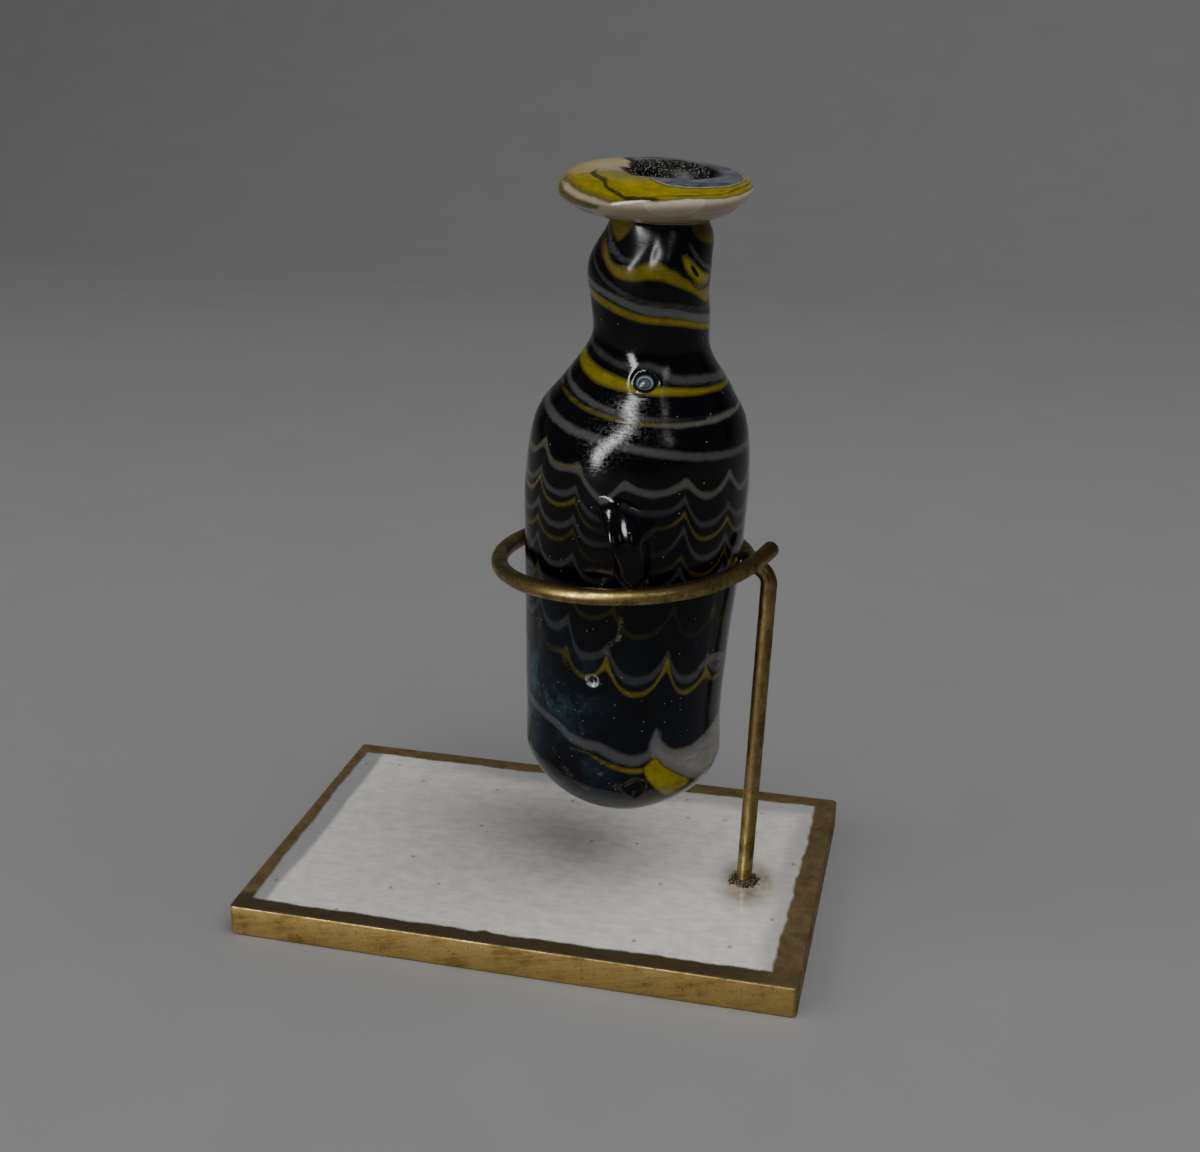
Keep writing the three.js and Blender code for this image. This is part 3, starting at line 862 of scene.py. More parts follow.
def crack_share(azimuth, height):
    """How strongly a place lies in a crack, from 0 to 1."""
    total = np.zeros_like(height)
    for line, half, strength in CRACKS:
        flat, x, y = on_skin(line, azimuth, height)
        distance, _ = distance_to_line(flat, x, y)
        total = np.maximum(total, strength * (1 - smoothstep(distance, half * 0.3, half + 0.25)))
    return total


# Meshes


def mesh_object(name, vertices, faces, fields=None):
    """A smooth mesh object from millimetre vertices, with its fields stored as attributes."""
    data = bpy.data.meshes.new(name)
    data.from_pydata((np.asarray(vertices) * MM).tolist(), [], faces)
    data.update()
    for key, values in (fields or {}).items():
        stored = data.attributes.new(key, "FLOAT", "POINT")
        stored.data.foreach_set("value", np.asarray(values, np.float32))
    data.polygons.foreach_set("use_smooth", [True] * len(data.polygons))
    made = bpy.data.objects.new(name, data)
    bpy.context.scene.collection.objects.link(made)
    return made


ring_normal = Vector(
    (-math.tan(math.radians(RING_RISE_RIGHT)), math.tan(math.radians(RING_FALL_BACK)), 1)
).normalized()
ring_across = Vector((0, 1, 0)).cross(ring_normal).normalized()
ring_back = ring_normal.cross(ring_across)
shank_direction = Vector((math.tan(math.radians(SHANK_LEAN)), 0, 1)).normalized()
shank_foot = Vector((PLATE_LENGTH / 2 - SHANK_INSET, -SHANK_FORWARD, PLATE_THICKNESS))
ring_height = BOTTOM_CLEARANCE + SEAT_HEIGHT
shank_top = shank_foot + shank_direction * (ring_height / shank_direction.z)
shank_reach = RING_RADIUS + SHANK_STAND_OFF
ring_centre = Vector(
    (
        shank_top.x - shank_reach * math.cos(math.radians(SHANK_ANGLE)),
        shank_top.y - shank_reach * math.sin(math.radians(SHANK_ANGLE)),
        PLATE_THICKNESS + ring_height,
    )
)


def hung(points):
    """Points of the upright bottle, leant and hung in the ring."""
    forward = Matrix.Rotation(math.radians(LEAN_FORWARD), 3, "X")
    lean = forward @ Matrix.Rotation(math.radians(LEAN_RIGHT), 3, "Y")
    place = np.array(ring_centre) + (RING_PLAY - GAP, 0, 0)
    return (points - (0, 0, SEAT_HEIGHT)) @ np.array(lean).T + place


def faces_between(rings, count):
    """The faces that join rings of the same number of points, one ring after another."""
    faces = []
    for low in range(0, (rings - 1) * count, count):
        high = low + count
        for column in range(count):
            beside = (column + 1) % count
            faces.append((low + column, low + beside, high + beside, high + column))
    return faces


def column_azimuths(count):
    """Azimuths all the way round, closer together on the front and at the lugs."""
    dense = np.linspace(-168, 192, 3601)
    crowd = 1 + 0.8 * hump(turned(dense, LUG_AZIMUTH), 0, 50)
    for lug_azimuth in (LUG_AZIMUTH, LUG_AZIMUTH + 180):
        crowd = crowd + 1.1 * hump(turned(dense, lug_azimuth), 0, 14)
    weight = np.concatenate([[0], np.cumsum((crowd[1:] + crowd[:-1]) / 2)])
    return np.interp(np.arange(count) / count * weight[-1], weight, dense)


BOTTLE_COLUMNS = 264


def make_bottle():
    """The bottle as one closed skin, from the bottom up over the rim and down inside to the floor."""
    rim = rim_outline()
    outer = np.vstack([bottom_outline(BASE_RADIUS, 0, ROUNDING_HEIGHT), SIDE, rim[1:]])
    throat_arc = np.linalg.norm(np.diff(outer[: BOTTOM_POINTS + len(SIDE)], axis=0), axis=1).sum()

    def crowding(arc, height):
        body = 1 + 0.2 * smoothstep(height, 8, 14) + 0.25 * smoothstep(height, 60, 66)
        lugs = 0.85 * hump(height, 50, 7)
        neck = 0.3 * smoothstep(height, 69, 74)
        on_side = arc < throat_arc
        return np.where(on_side, body + lugs + neck, 2.25)

    outer = resampled(outer, 0.6, crowding)
    inner = resampled(inner_outline(), 2.0, lambda arc, height: 1 + 0 * arc)[1:]
    rows = np.vstack([outer[1:, :2], inner[:-1, :2]])
    rim_arc = np.concatenate([outer[1:, 2] - throat_arc, np.full(len(inner) - 1, 30.0)])
    is_inner = np.concatenate([np.zeros(len(outer) - 1, bool), np.ones(len(inner) - 1, bool)])
    azimuth = column_azimuths(BOTTLE_COLUMNS)
    radius, around = np.meshgrid(rows[:, 0], azimuth, indexing="ij")
    height = np.broadcast_to(rows[:, 1:2], radius.shape)
    arc = np.broadcast_to(rim_arc[:, None], radius.shape)
    inside = np.broadcast_to(is_inner[:, None], radius.shape)
    relief = surface_radius(around, height, radius)
    on_rim = smoothstep(arc, -1.0, 1.5)
    lip_waves = 0.16 * waves(around, height * 0 + arc * 0.4, 4.0, 29)
    rolled = radius + lip_waves * smoothstep(arc, 1, 5) * (radius > BORE_RADIUS + 0.3)
    reach = np.where(inside, radius, relief * (1 - on_rim) + rolled * on_rim)
    turn = np.radians(around)
    lip = smoothstep(height, THROAT_HEIGHT, RIM_HEIGHT)
    inward = 1 - smoothstep(radius, BORE_RADIUS + THROAT_WALL / 2, RIM_RADIUS)
    x = reach * np.sin(turn) + sway(height)
    x = x + MOUTH_SHIFT_RIGHT * lip * inward
    y = -reach * np.cos(turn) + MOUTH_SHIFT_BACK * lip * inward
    rolling = 0.1 * waves(around, arc * 0.3, 3.0, 31) * smoothstep(arc, 3, 7) - 0.12 * on_rim
    # The lip hangs a little lower on the left below its widest line, and its crest is higher in front.
    sag = RIM_SAG * x * smoothstep(arc, 1.0, 4.5) * (1 - smoothstep(arc, 7.5, 11.5))
    near = 0.5 * hump(turned(around, 10), 0, 62) * smoothstep(arc, 9, 12.5)
    z = height + np.where(inside, 0, rolling + sag + near)
    grid = np.stack([x, y, z], -1).reshape(-1, 3)
    count_rows, count = radius.shape
    base_pole = np.array([[sway(0.0), 0, 0]])
    floor_pole = np.array([[sway(FLOOR_THICKNESS), 0, FLOOR_THICKNESS]])
    vertices = hung(np.vstack([grid, base_pole, floor_pole]))
    faces = faces_between(count_rows, count)
    last = (count_rows - 1) * count
    pole = len(grid)
    for column in range(count):
        beside = (column + 1) % count
        faces.append((beside, column, pole))
        faces.append((last + column, last + beside, pole + 1))

    def flat(values):
        return np.concatenate([values.reshape(-1), [values[0, 0], values[-1, 0]]])

    fields = glass_fields(flat(around), flat(height), flat(arc), flat(inside))
    return mesh_object("core_formed_bottle", vertices, faces, fields)


def ring_point(angle, out, lift):
    """A point of the wire ring at an angle, moved out from its circle and up from its plane."""
    radius = RING_RADIUS + out
    turn = math.radians(angle)
    level = ring_across * radius * math.cos(turn) + ring_back * radius * math.sin(turn)
    return ring_centre + level + ring_normal * lift


def wire_route():
    """The wire's middle line, from the foot in the plate round to the free end."""
    foot = GAP - SOCKET_DEPTH
    join = ring_point(JOIN_ANGLE, 0, -BEND_DROP)
    height = join.z - PLATE_THICKNESS - BEND_RADIUS
    route = [shank_foot + shank_direction * (t / shank_direction.z) for t in np.linspace(foot, height, 90)]
    start = route[-1]
    tangent = (ring_point(JOIN_ANGLE + 1, 0, -BEND_DROP) - join).normalized()
    level = join - tangent * BEND_RADIUS - start
    level.z = 0
    level.normalize()
    for turn in np.radians(np.linspace(0, BEND_TURN, 13))[1:]:
        bent = level * BEND_RADIUS * (1 - math.cos(turn))
        route.append(start + bent + Vector((0, 0, BEND_RADIUS * math.sin(turn))))
    sweep = 360 + FLARE_START - JOIN_ANGLE
    for swept in np.linspace(0, sweep, 181):
        sunk = 1 - float(smoothstep(swept, 0, DROP_FADE))
        route.append(ring_point(JOIN_ANGLE + swept, 0, -BEND_DROP * sunk))
    for share in np.linspace(0, 1, 29)[1:]:
        ease = share**FLARE_EASE
        angle = FLARE_START + (TIP_ANGLE - FLARE_START) * share
        route.append(ring_point(angle, FLARE_OUT * ease, FLARE_LIFT * ease))
    return np.array([tuple(point) for point in route])


def node(tree, kind, inputs=(), out=0, **settings):
    """Adds a node with its settings, sets or links its inputs, by name or in order, and gives one output."""
    made = tree.nodes.new(kind if "Node" in kind else "ShaderNode" + kind)
    for name, value in settings.items():
        setattr(made, name, value)
    for key, value in inputs.items() if isinstance(inputs, dict) else enumerate(inputs):
        if isinstance(value, bpy.types.NodeSocket):
            tree.links.new(value, made.inputs[key])
        else:
            made.inputs[key].default_value = value
    return made.outputs[out]


def geometry_tree(name, sizes):
    """An empty Geometry Nodes tree with a geometry in and out, a material and named sizes."""
    tree = bpy.data.node_groups.new(name, "GeometryNodeTree")
    tree.interface.new_socket("Geometry", in_out="INPUT", socket_type="NodeSocketGeometry")
    for label, value in sizes.items():
        kind = "NodeSocketInt" if isinstance(value, int) else "NodeSocketFloat"
        tree.interface.new_socket(label, in_out="INPUT", socket_type=kind).default_value = value
    tree.interface.new_socket("Material", in_out="INPUT", socket_type="NodeSocketMaterial")
    tree.interface.new_socket("Geometry", in_out="OUTPUT", socket_type="NodeSocketGeometry")
    return tree, tree.nodes.new("NodeGroupInput").outputs


def finish_tree(tree, geometry, material):
    """Makes the geometry's instances real, shades it smooth, gives it its material and puts it out."""
    real = node(tree, "GeometryNodeRealizeInstances", {"Geometry": geometry})
    smooth = node(tree, "GeometryNodeSetShadeSmooth", {"Geometry": real})
    finished = node(tree, "GeometryNodeSetMaterial", {"Geometry": smooth, "Material": material})
    tree.links.new(finished, tree.nodes.new("NodeGroupOutput").inputs["Geometry"])


def made_by_nodes(piece, tree, material):
    """Runs the tree on the piece and gives the result back as a plain mesh object."""
    modifier = piece.modifiers.new(tree.name, "NODES")
    modifier.node_group = tree
    for item in tree.interface.items_tree:
        if item.in_out == "INPUT" and item.name == "Material":
            modifier[item.identifier] = material
    evaluated = piece.evaluated_get(bpy.context.evaluated_depsgraph_get())
    data = bpy.data.meshes.new_from_object(evaluated)
    piece.modifiers.remove(modifier)
    piece.data = data
    return piece


def wire_tree():
    """Draws a round wire along a line, thinner where the line's points say so, with its length stored."""
    tree, given = geometry_tree("drawn_wire", {"Wire radius": WIRE_RADIUS * MM, "Sides": 22})
    line = node(tree, "GeometryNodeMeshToCurve", {"Mesh": given["Geometry"]})
    thin = node(tree, "GeometryNodeInputNamedAttribute", {"Name": "thickness"}, data_type="FLOAT")
    sized = node(tree, "GeometryNodeSetCurveRadius", {"Curve": line, "Radius": thin})
    run = node(tree, "GeometryNodeSplineParameter", out="Length")
    kept = {"Geometry": sized, "Name": "along", "Value": run}
    stored = node(tree, "GeometryNodeStoreNamedAttribute", kept, data_type="FLOAT", domain="POINT")
    circle = {"Resolution": given["Sides"], "Radius": given["Wire radius"]}
    section = node(tree, "GeometryNodeCurvePrimitiveCircle", circle)
    drawn = {"Curve": stored, "Profile Curve": section, "Scale": thin, "Fill Caps": True}
    finish_tree(tree, node(tree, "GeometryNodeCurveToMesh", drawn), given["Material"])
    return tree


def make_wire(material):
    """The bent wire, drawn along its route by Geometry Nodes."""
    route = wire_route()
    step = np.linalg.norm(np.diff(route, axis=0), axis=1)
    length = np.concatenate([[0], np.cumsum(step)])
    # The free end is rounded off: the last points crowd into a half ball beyond the route's end.
    beyond = np.sin(np.linspace(0, math.pi / 2, 9)[1:])
    onward = (route[-1] - route[-2]) / step[-1]
    route = np.vstack([route, route[-1] + onward * (beyond * WIRE_RADIUS * 0.98)[:, None]])
    worn = 1 + 0.012 * np.sin(length * 0.9) + 0.01 * np.sin(length * 2.3 + 1)
    round_off = np.sqrt(np.clip(1 - beyond**2, 0.0004, 1)) * worn[-1]
    thickness = np.minimum(np.concatenate([worn, round_off]), 1.0)
    data = bpy.data.meshes.new("bent_wire")
    data.from_pydata((route * MM).tolist(), [(k, k + 1) for k in range(len(route) - 1)], [])
    stored = data.attributes.new("thickness", "FLOAT", "POINT")
    stored.data.foreach_set("value", thickness.astype(np.float32))
    made = bpy.data.objects.new("bent_wire", data)
    bpy.context.scene.collection.objects.link(made)
    return made_by_nodes(made, wire_tree(), material)


def plate_loop(inset, height, side_points=112, corner_points=8):
    """Points round the plate at an inset smaller than its corner radius, in the same order on every loop."""
    half = np.array([PLATE_LENGTH / 2, PLATE_WIDTH / 2])
    out = PLATE_CORNER - inset
    points = []
    for quarter in range(4):
        # Each quarter is a straight side and the corner after it, turned a quarter turn further.
        reach, across = (half if quarter % 2 == 0 else half[::-1]) - PLATE_CORNER
        run = [(along, 0.0) for along in np.linspace(-reach, reach, side_points, endpoint=False)]
        run += [(reach, turn) for turn in np.linspace(0, math.pi / 2, corner_points, endpoint=False)]
        cosine, sine = math.cos(quarter * math.pi / 2), math.sin(quarter * math.pi / 2)
        for along, turn in run:
            x = along + out * math.sin(turn)
            y = -across - out * math.cos(turn)
            points.append((x * cosine - y * sine, x * sine + y * cosine, height))
    return np.array(points)


def plate_fields(points):
    """How far inside the bare brass border the top's points are in mm, their grey with a painted shade under
    the bottle, their stain, and the painted shade of the border's front.
    """
    x, y = points[:, 0], points[:, 1]
    to_right, to_left = PLATE_LENGTH / 2 - x, PLATE_LENGTH / 2 + x
    to_back, to_front = PLATE_WIDTH / 2 - y, PLATE_WIDTH / 2 + y
    frontness = smoothstep(-y, -20, 24)
    ripple = 0.1 * np.sin(0.42 * x + 0.3 * y) + 0.07 * np.sin(1.1 * x - 0.8 * y + 2)
    ripple = ripple + 0.04 * np.sin(2.4 * x + 1.9 * y)
    wide_ripple = ripple + 0.18 * np.sin(0.31 * y + 1) + 0.07 * np.sin(0.87 * y + 2) + 0.04 * np.sin(1.9 * y)
    bump = 0.55 * hump(x, -3.5, 0.9) - 0.3 * hump(x, -6.0, 1.4)
    bare = np.maximum.reduce(
        [
            2.6 + 0.35 * smoothstep(x, 0, 30) + bump + ripple - to_front,
            2.9 + 0.4 * hump(x, 20, 12) + ripple - to_back,
            1.75 + 0.5 * frontness + ripple - to_left,
            3.1 + 0.8 * frontness + wide_ripple - to_right,
        ]
    )
    soft = 0.5 * waves(x * 3.0, y, 14.0, 51)
    left = 1 - smoothstep(to_left + soft, 4.6, 5.6)
    back = 0.8 * (1 - smoothstep(to_back + soft, 5.0, 8.5)) * smoothstep(x, -38, -10)
    right = 0.6 * (1 - smoothstep(to_right + soft, 4.6, 7.4))
    # A painted shade of the bottle on the coat, to its left and behind.
    painted_bottle_shade = 0.32 * hump(x, -12, 17) * hump(y, 9, 9)
    grey = np.clip(np.maximum.reduce([left, back, right, painted_bottle_shade]), 0, 1)
    foot = np.hypot(x - shank_foot.x - 0.7, (y - shank_foot.y + 0.8) * 0.62)
    stain = 1 - smoothstep(foot + 0.45 * waves(x * 9, y, 3.0, 53), 2.0, 6.2)
    # The front strip of the bare border is darkened with painted shade.
    painted_front_shade = 0.75 * (1 - smoothstep(to_front, 3.0, 5.0)) * (1 - 0.6 * smoothstep(x, 30, 42))
    return {"bare": bare, "grey": grey, "stain": stain, "painted_front_shade": painted_front_shade}


FILED, FACE = 0, 1


def make_plate():
    """The plate: rounded edges, and rings of points over its top that carry the masks of its face."""
    edge = PLATE_EDGE
    loops = []
    for turn in np.radians(np.linspace(-90, 0, 5)):
        loops.append(plate_loop(edge * (1 - math.cos(turn)), edge * (1 + math.sin(turn))))
    for turn in np.radians(np.linspace(0, 90, 6)):
        loops.append(plate_loop(edge * (1 - math.cos(turn)), PLATE_THICKNESS - edge * (1 - math.sin(turn))))
    rounded = len(loops) - 1
    rim = loops[-1]
    # Rings of the flat top shrink towards its middle, closer together near the border.
    for share in np.concatenate([np.linspace(1, 0.84, 22)[1:], np.linspace(0.84, 0, 30)[1:-1]]):
        loops.append(rim * (share, share, 1))
    count = len(rim)
    vertices = np.vstack(loops + [[(0, 0, PLATE_THICKNESS)]])
    faces = faces_between(len(loops), count)
    last = (len(loops) - 1) * count
    for column in range(count):
        faces.append((last + column, last + (column + 1) % count, len(vertices) - 1))
    faces.append(tuple(reversed(range(count))))
    # The filed finish runs up the side into the first half of the rounded top edge.
    filed_faces = (rounded - 3) * count
    finishes = [FILED] * filed_faces + [FACE] * (len(faces) - 1 - filed_faces) + [FILED]
    made = mesh_object("brass_plate", vertices, faces, plate_fields(vertices))
    made.data.polygons.foreach_set("material_index", finishes)
    made.data.polygons[len(faces) - 1].use_smooth = False
    return made


def make_foot_fillet():
    """A low lumpy collar of old solder and dirt round the shank's foot."""
    columns = 72
    angle = np.arange(columns) / columns * 360
    profile = ((0.0, 0.55), (0.25, 0.42), (0.55, 0.26), (0.85, 0.13), (1.1, 0.02), (1.15, -0.15))
    loops = []
    for out, up in profile:
        lump = 1 + 0.22 * waves(angle, angle * 0 + out * 4, 1.0, 41, 2)
        radius = WIRE_RADIUS - 0.05 + out * lump
        turn = np.radians(angle)
        lift = PLATE_THICKNESS + up * (1 + 0.35 * waves(angle, angle * 0 + out * 9, 1.0, 43, 3) * (up > 0.03))
        x, y = shank_foot.x + radius * np.cos(turn), shank_foot.y + radius * np.sin(turn)
        loops.append(np.stack([x, y, lift], 1))
    faces = [face[::-1] for face in faces_between(len(loops), columns)]
    faces.append(tuple(range(columns)))
    faces.append(tuple(reversed(range((len(loops) - 1) * columns, len(loops) * columns))))
    return mesh_object("foot_solder", np.vstack(loops), faces)


def crumb_tree():
    """Scatters crumbs of solder and grit on the points it is given."""
    tree, given = geometry_tree("foot_crumbs", {"Crumb size": 0.19 * MM, "Seed": 7})
    points = node(tree, "GeometryNodeMeshToPoints", {"Mesh": given["Geometry"]})
    crumb = node(tree, "GeometryNodeMeshIcoSphere", {"Radius": given["Crumb size"], "Subdivisions": 2})
    scatter = {"Points": points, "Instance": crumb}
    spans = {"Scale": ((0.35, 0.35, 0.3), (1.3, 1.1, 0.9)), "Rotation": ((0, 0, 0), (0.6, 0.6, 6.28))}
    for name, (least, most) in spans.items():
        span = {"Min": least, "Max": most, "Seed": given["Seed"]}
        scatter[name] = node(tree, "FunctionNodeRandomValue", span, data_type="FLOAT_VECTOR")
    finish_tree(tree, node(tree, "GeometryNodeInstanceOnPoints", scatter), given["Material"])
    return tree


def make_crumbs(material):
    """Crumbs of solder and grit strewn round the shank's foot."""
    pick = np.random.default_rng(11)
    count = 150
    turn = pick.uniform(0, 2 * math.pi, count)
    radius = WIRE_RADIUS + 0.15 + np.abs(pick.normal(0.45, 0.42, count))
    points = np.stack(
        [
            shank_foot.x + radius * np.cos(turn),
            shank_foot.y + radius * np.sin(turn),
            PLATE_THICKNESS + np.clip(0.45 - 0.38 * (radius - WIRE_RADIUS), 0.02, 0.5),
        ],
        1,
    )
    data = bpy.data.meshes.new("foot_grit")
    data.from_pydata((points * MM).tolist(), [], [])
    made = bpy.data.objects.new("foot_grit", data)
    bpy.context.scene.collection.objects.link(made)
    return made_by_nodes(made, crumb_tree(), material)


# Materials


def linear(code):
    """A linear colour from an sRGB hex code."""
    channels = [int(code[k : k + 2], 16) / 255 for k in (1, 3, 5)]
    return tuple(c / 12.92 if c <= 0.04045 else ((c + 0.055) / 1.055) ** 2.4 for c in channels) + (1.0,)


def new_material(name):
    """A material, a function that adds a node to it, its shader's inputs and the places on its piece."""
    material = bpy.data.materials.new(name)
    material.use_nodes = True
    add = partial(node, material.node_tree)
    shader = material.node_tree.nodes["Principled BSDF"]
    return material, add, shader, add("TexCoord", out="Object")


def give(shader, **values):
    """Sets or links the shader's sockets, named here with _ for each space."""
    for name, value in values.items():
        socket = shader.inputs[name.replace("_", " ")]
        if isinstance(value, bpy.types.NodeSocket):
            socket.id_data.links.new(value, socket)
        else:
            socket.default_value = value


def laid_over(add, colour, *coats):
    """A hex colour or a socket with coats laid over it in order, each by its share."""
    for share, coat in coats:
        ends = [linear(value) if isinstance(value, str) else value for value in (colour, coat)]
        colour = add("Mix", {"Factor": share, "A": ends[0], "B": ends[1]}, out="Result", data_type="RGBA")
    return colour


def per_mm(size):
    """The Scale of a pattern whose features are this many millimetres apart."""
    return 1 / (size * MM)


# Settings that many nodes share. Inputs given in order are, for a noise, its vector, W, scale, detail and
# roughness, and for a map range, its value, the two ends it runs from and the two it runs to.
SOFT = {"interpolation_type": "SMOOTHSTEP"}
TIMES = {"operation": "MULTIPLY"}
PLUS = {"operation": "ADD"}
MINUS = {"operation": "SUBTRACT"}
LARGER = {"operation": "MAXIMUM"}
ABOVE = {"operation": "GREATER_THAN"}
SIZE = {"operation": "ABSOLUTE"}

GLASS_FIELDS = (
    "yellow_in yellow_strength pale_in pale_strength pale_tone dark_in dark_strength lip_grey gather_in veil "
    "left_weather height scar_in drop_at plain_skin bubble_at shoulder mouth crack"
).split()


def core_formed_glass():
    """Core-formed glass: hot dark glass trailed on a core, with coloured threads marvered in and combed.

    To the eye it is nearly black and glossy, blue where it is thin, with flush soft-edged threads, level
    drag lines in its highlights, dust and pin bubbles, and blue-green weathering on the lower left.
    """
    material, add, shader, place = new_material("core_formed_cobalt_glass")
    at = {name: add("Attribute", out="Fac", attribute_name=name) for name in GLASS_FIELDS}
    drag = add("Mapping", {"Vector": place, "Scale": (0.35, 0.35, 2.6)})
    level = add("Mapping", {"Vector": place, "Scale": (0.12, 0.12, 4.0)})
    wobble = add("TexNoise", (place, 0.0, per_mm(1.8), 3.0, 0.6))
    dragged = add("TexNoise", (drag, 0.0, per_mm(1.0), 4.0, 0.6))
    scratches = add("TexNoise", (level, 0.0, per_mm(0.9), 5.0, 0.72))
    cloud = add("TexNoise", (place, 0.0, per_mm(6.0), 6.0, 0.66))
    fine = add("TexNoise", (place, 0.0, per_mm(0.4), 2.0, 0.6))
    grit = add("TexNoise", (place, 0.0, per_mm(0.22), 1.0, 0.6))

    def shown(name, spread):
        """How much of a thread shows: its inside distance, a little ragged, with a soft edge."""
        moved = add("Math", (at[name + "_in"], add("MapRange", (wobble, 0.3, 0.7, -0.06, 0.06))), **PLUS)
        inside = add("MapRange", (moved, -spread * 0.6, spread * 0.4), **SOFT)
        return add("Math", (inside, at[name + "_strength"]), **TIMES)

    def band(value, middle, edge, full, most=1.0):
        """How near a field is to a middle value, from 0 at the edge's distance to its most at the full's."""
        away = add("Math", (add("Math", (value, middle), **MINUS),), **SIZE)
        return add("MapRange", (away, edge, full, 0.0, most))

    # The ground is near black, bluer low down, with blue-green weathering on the left.
    blue = add("Math", (at["veil"], add("MapRange", (cloud, 0.35, 0.6))), **TIMES)
    patches = add("Math", (add("MapRange", (cloud, 0.5, 0.62), **SOFT), at["left_weather"]), **TIMES)
    weather = add("Math", (patches, add("MapRange", (wobble, 0.35, 0.65, 0.2, 0.85))), **TIMES)
    ground = laid_over(add, "#030306", (blue, "#0b1c2e"), (weather, "#3c5960"))

    # Grey to cream glass, lighter where it lies thick, and the clear-edged gather on the rim's front.
    thick = add("MapRange", (at["pale_in"], 0.15, 0.8), **SOFT)
    thick = add("Math", (thick, add("MapRange", (dragged, 0.38, 0.62, 0.25, 0.9))), **TIMES)
    gather_edge = add("Math", (band(at["gather_in"], 0.0, 0.2, 0.05), 0.4), **TIMES)
    pale = laid_over(
        add,
        laid_over(add, "#6c6c70", (at["pale_tone"], "#aea186")),
        (thick, laid_over(add, "#8f908c", (at["pale_tone"], "#b3a78c"))),
        (add("MapRange", (at["gather_in"], -0.05, 0.15, 0.0, 0.5)), "#c6beaa"),
        (gather_edge, "#d8d0bc"),
    )

    # Yellow glass, olive at its edges and streaked, and the grey of the lip round the mouth, which is a
    # painted reflection.
    streaks = add("MapRange", (dragged, 0.34, 0.62, 0.7, 1.0))
    streaks = add("Math", (streaks, add("MapRange", (wobble, 0.36, 0.6, 0.6, 1.0))), **TIMES)
    run = add("Math", (add("MapRange", (at["yellow_in"], 0.0, 0.5), **SOFT), streaks), **TIMES)
    yellow = laid_over(add, "#4f490f", (run, "#938514"))
    lip = laid_over(add, "#33363d", (add("MapRange", (dragged, 0.36, 0.64)), "#5f646c"))

    # Dust and pin bubbles: one cell in a few holds a bright speck.
    cells = add("TexVoronoi", {"Vector": place, "Scale": per_mm(0.95)}, out="Distance", feature="F1")
    chosen = add("SeparateColor", {"Color": cells.node.outputs["Color"]})
    few = add("Math", (chosen, add("MapRange", (at["veil"], 0.0, 0.5, 0.92, 0.6))), **ABOVE)
    specks = add("Math", (add("MapRange", (cells, 0.15, 0.07)), few), **TIMES)
    # The speckled film of dried core clay in the mouth, and dust held in the cracks.
    film = add("Math", (add("MapRange", (grit, 0.58, 0.66)), at["mouth"]), **TIMES)
    dusty = add("MapRange", (add("Math", (grit, wobble), **PLUS), 0.98, 1.2))
    crack = add("Math", (at["crack"], dusty), **TIMES)
    dirt = add("Math", (specks, add("Math", (film, crack), **LARGER)), **LARGER)
    dirt = add("Math", (dirt, 0.55), **TIMES)

    # The burst bubble's rough white crater, whose pale ring is partly a painted glint, and the brown rim of
    # the chip's scar.
    shell = band(at["bubble_at"], 0.72, 0.3, 0.12)
    shell = add("Math", (shell, add("MapRange", (wobble, 0.42, 0.52))), **TIMES)
    # The crater's pale ring and middle are partly a painted glint.
    frost_and_glint = add("Math", (shell, add("MapRange", (at["bubble_at"], 0.3, 0.15, 0.0, 0.7))), **LARGER)
    frost_and_glint = add("Math", (frost_and_glint, add("MapRange", (fine, 0.34, 0.5, 0.35, 1.0))), **TIMES)
    scar = add("Math", (at["scar_in"], add("MapRange", (fine, 0.3, 0.7, -0.16, 0.12))), **PLUS)
    chipped = add("MapRange", (fine, 0.35, 0.6, 0.15, 1.0))
    chipped = add("Math", (band(scar, 0.0, 0.26, 0.04), chipped), **TIMES)

    # The drop: a grey-blue bead whose paler ring round its edge is a painted highlight, in a dark ring.
    bead = laid_over(
        add,
        "#465357",
        # The paler ring round the bead's edge is a painted highlight.
        (band(at["drop_at"], 0.68, 0.12, 0.03), "#7b8688"),
        (band(at["drop_at"], 0.52, 0.08, 0.02, 0.8), "#12191b"),
        (add("MapRange", (at["drop_at"], 0.74, 0.9), **SOFT), "#0a1012"),
    )
    colour = laid_over(
        add,
        ground,
        (shown("pale", 0.34), pale),
        (shown("yellow", 0.26), yellow),
        # The lip's grey: a painted reflection.
        (at["lip_grey"], lip),
        (shown("dark", 0.2), "#0a0906"),
        (at["mouth"], "#060606"),
        (dirt, "#a7a294"),
        (frost_and_glint, "#b9bcbc"),
        (add("Math", (chipped, 0.5), **TIMES), "#6c6248"),
        (add("MapRange", (at["drop_at"], 1.35, 1.1), **SOFT), bead),
    )

    # It is glossy, and duller on the neck, the lugs, the pitted shoulder, the weathering and the dirt.
    neck = add("MapRange", (at["height"], 91.0, 89.0, 0.0, 0.22))
    duller = (
        add("Math", (add("MapRange", (at["height"], 81.0, 85.0)), neck), **TIMES),
        add("Math", (at["plain_skin"], 0.07), **TIMES),
        add("Math", (at["mouth"], 0.4), **TIMES),
        add("Math", (at["shoulder"], add("MapRange", (fine, 0.4, 0.7, 0.0, 0.3))), **TIMES),
        add("Math", (weather, 0.4), **TIMES),
        dirt,
    )
    rough = add("MapRange", (scratches, 0.5, 0.85, 0.05, 0.26))
    for share in duller:
        rough = add("Math", (rough, share), **PLUS)

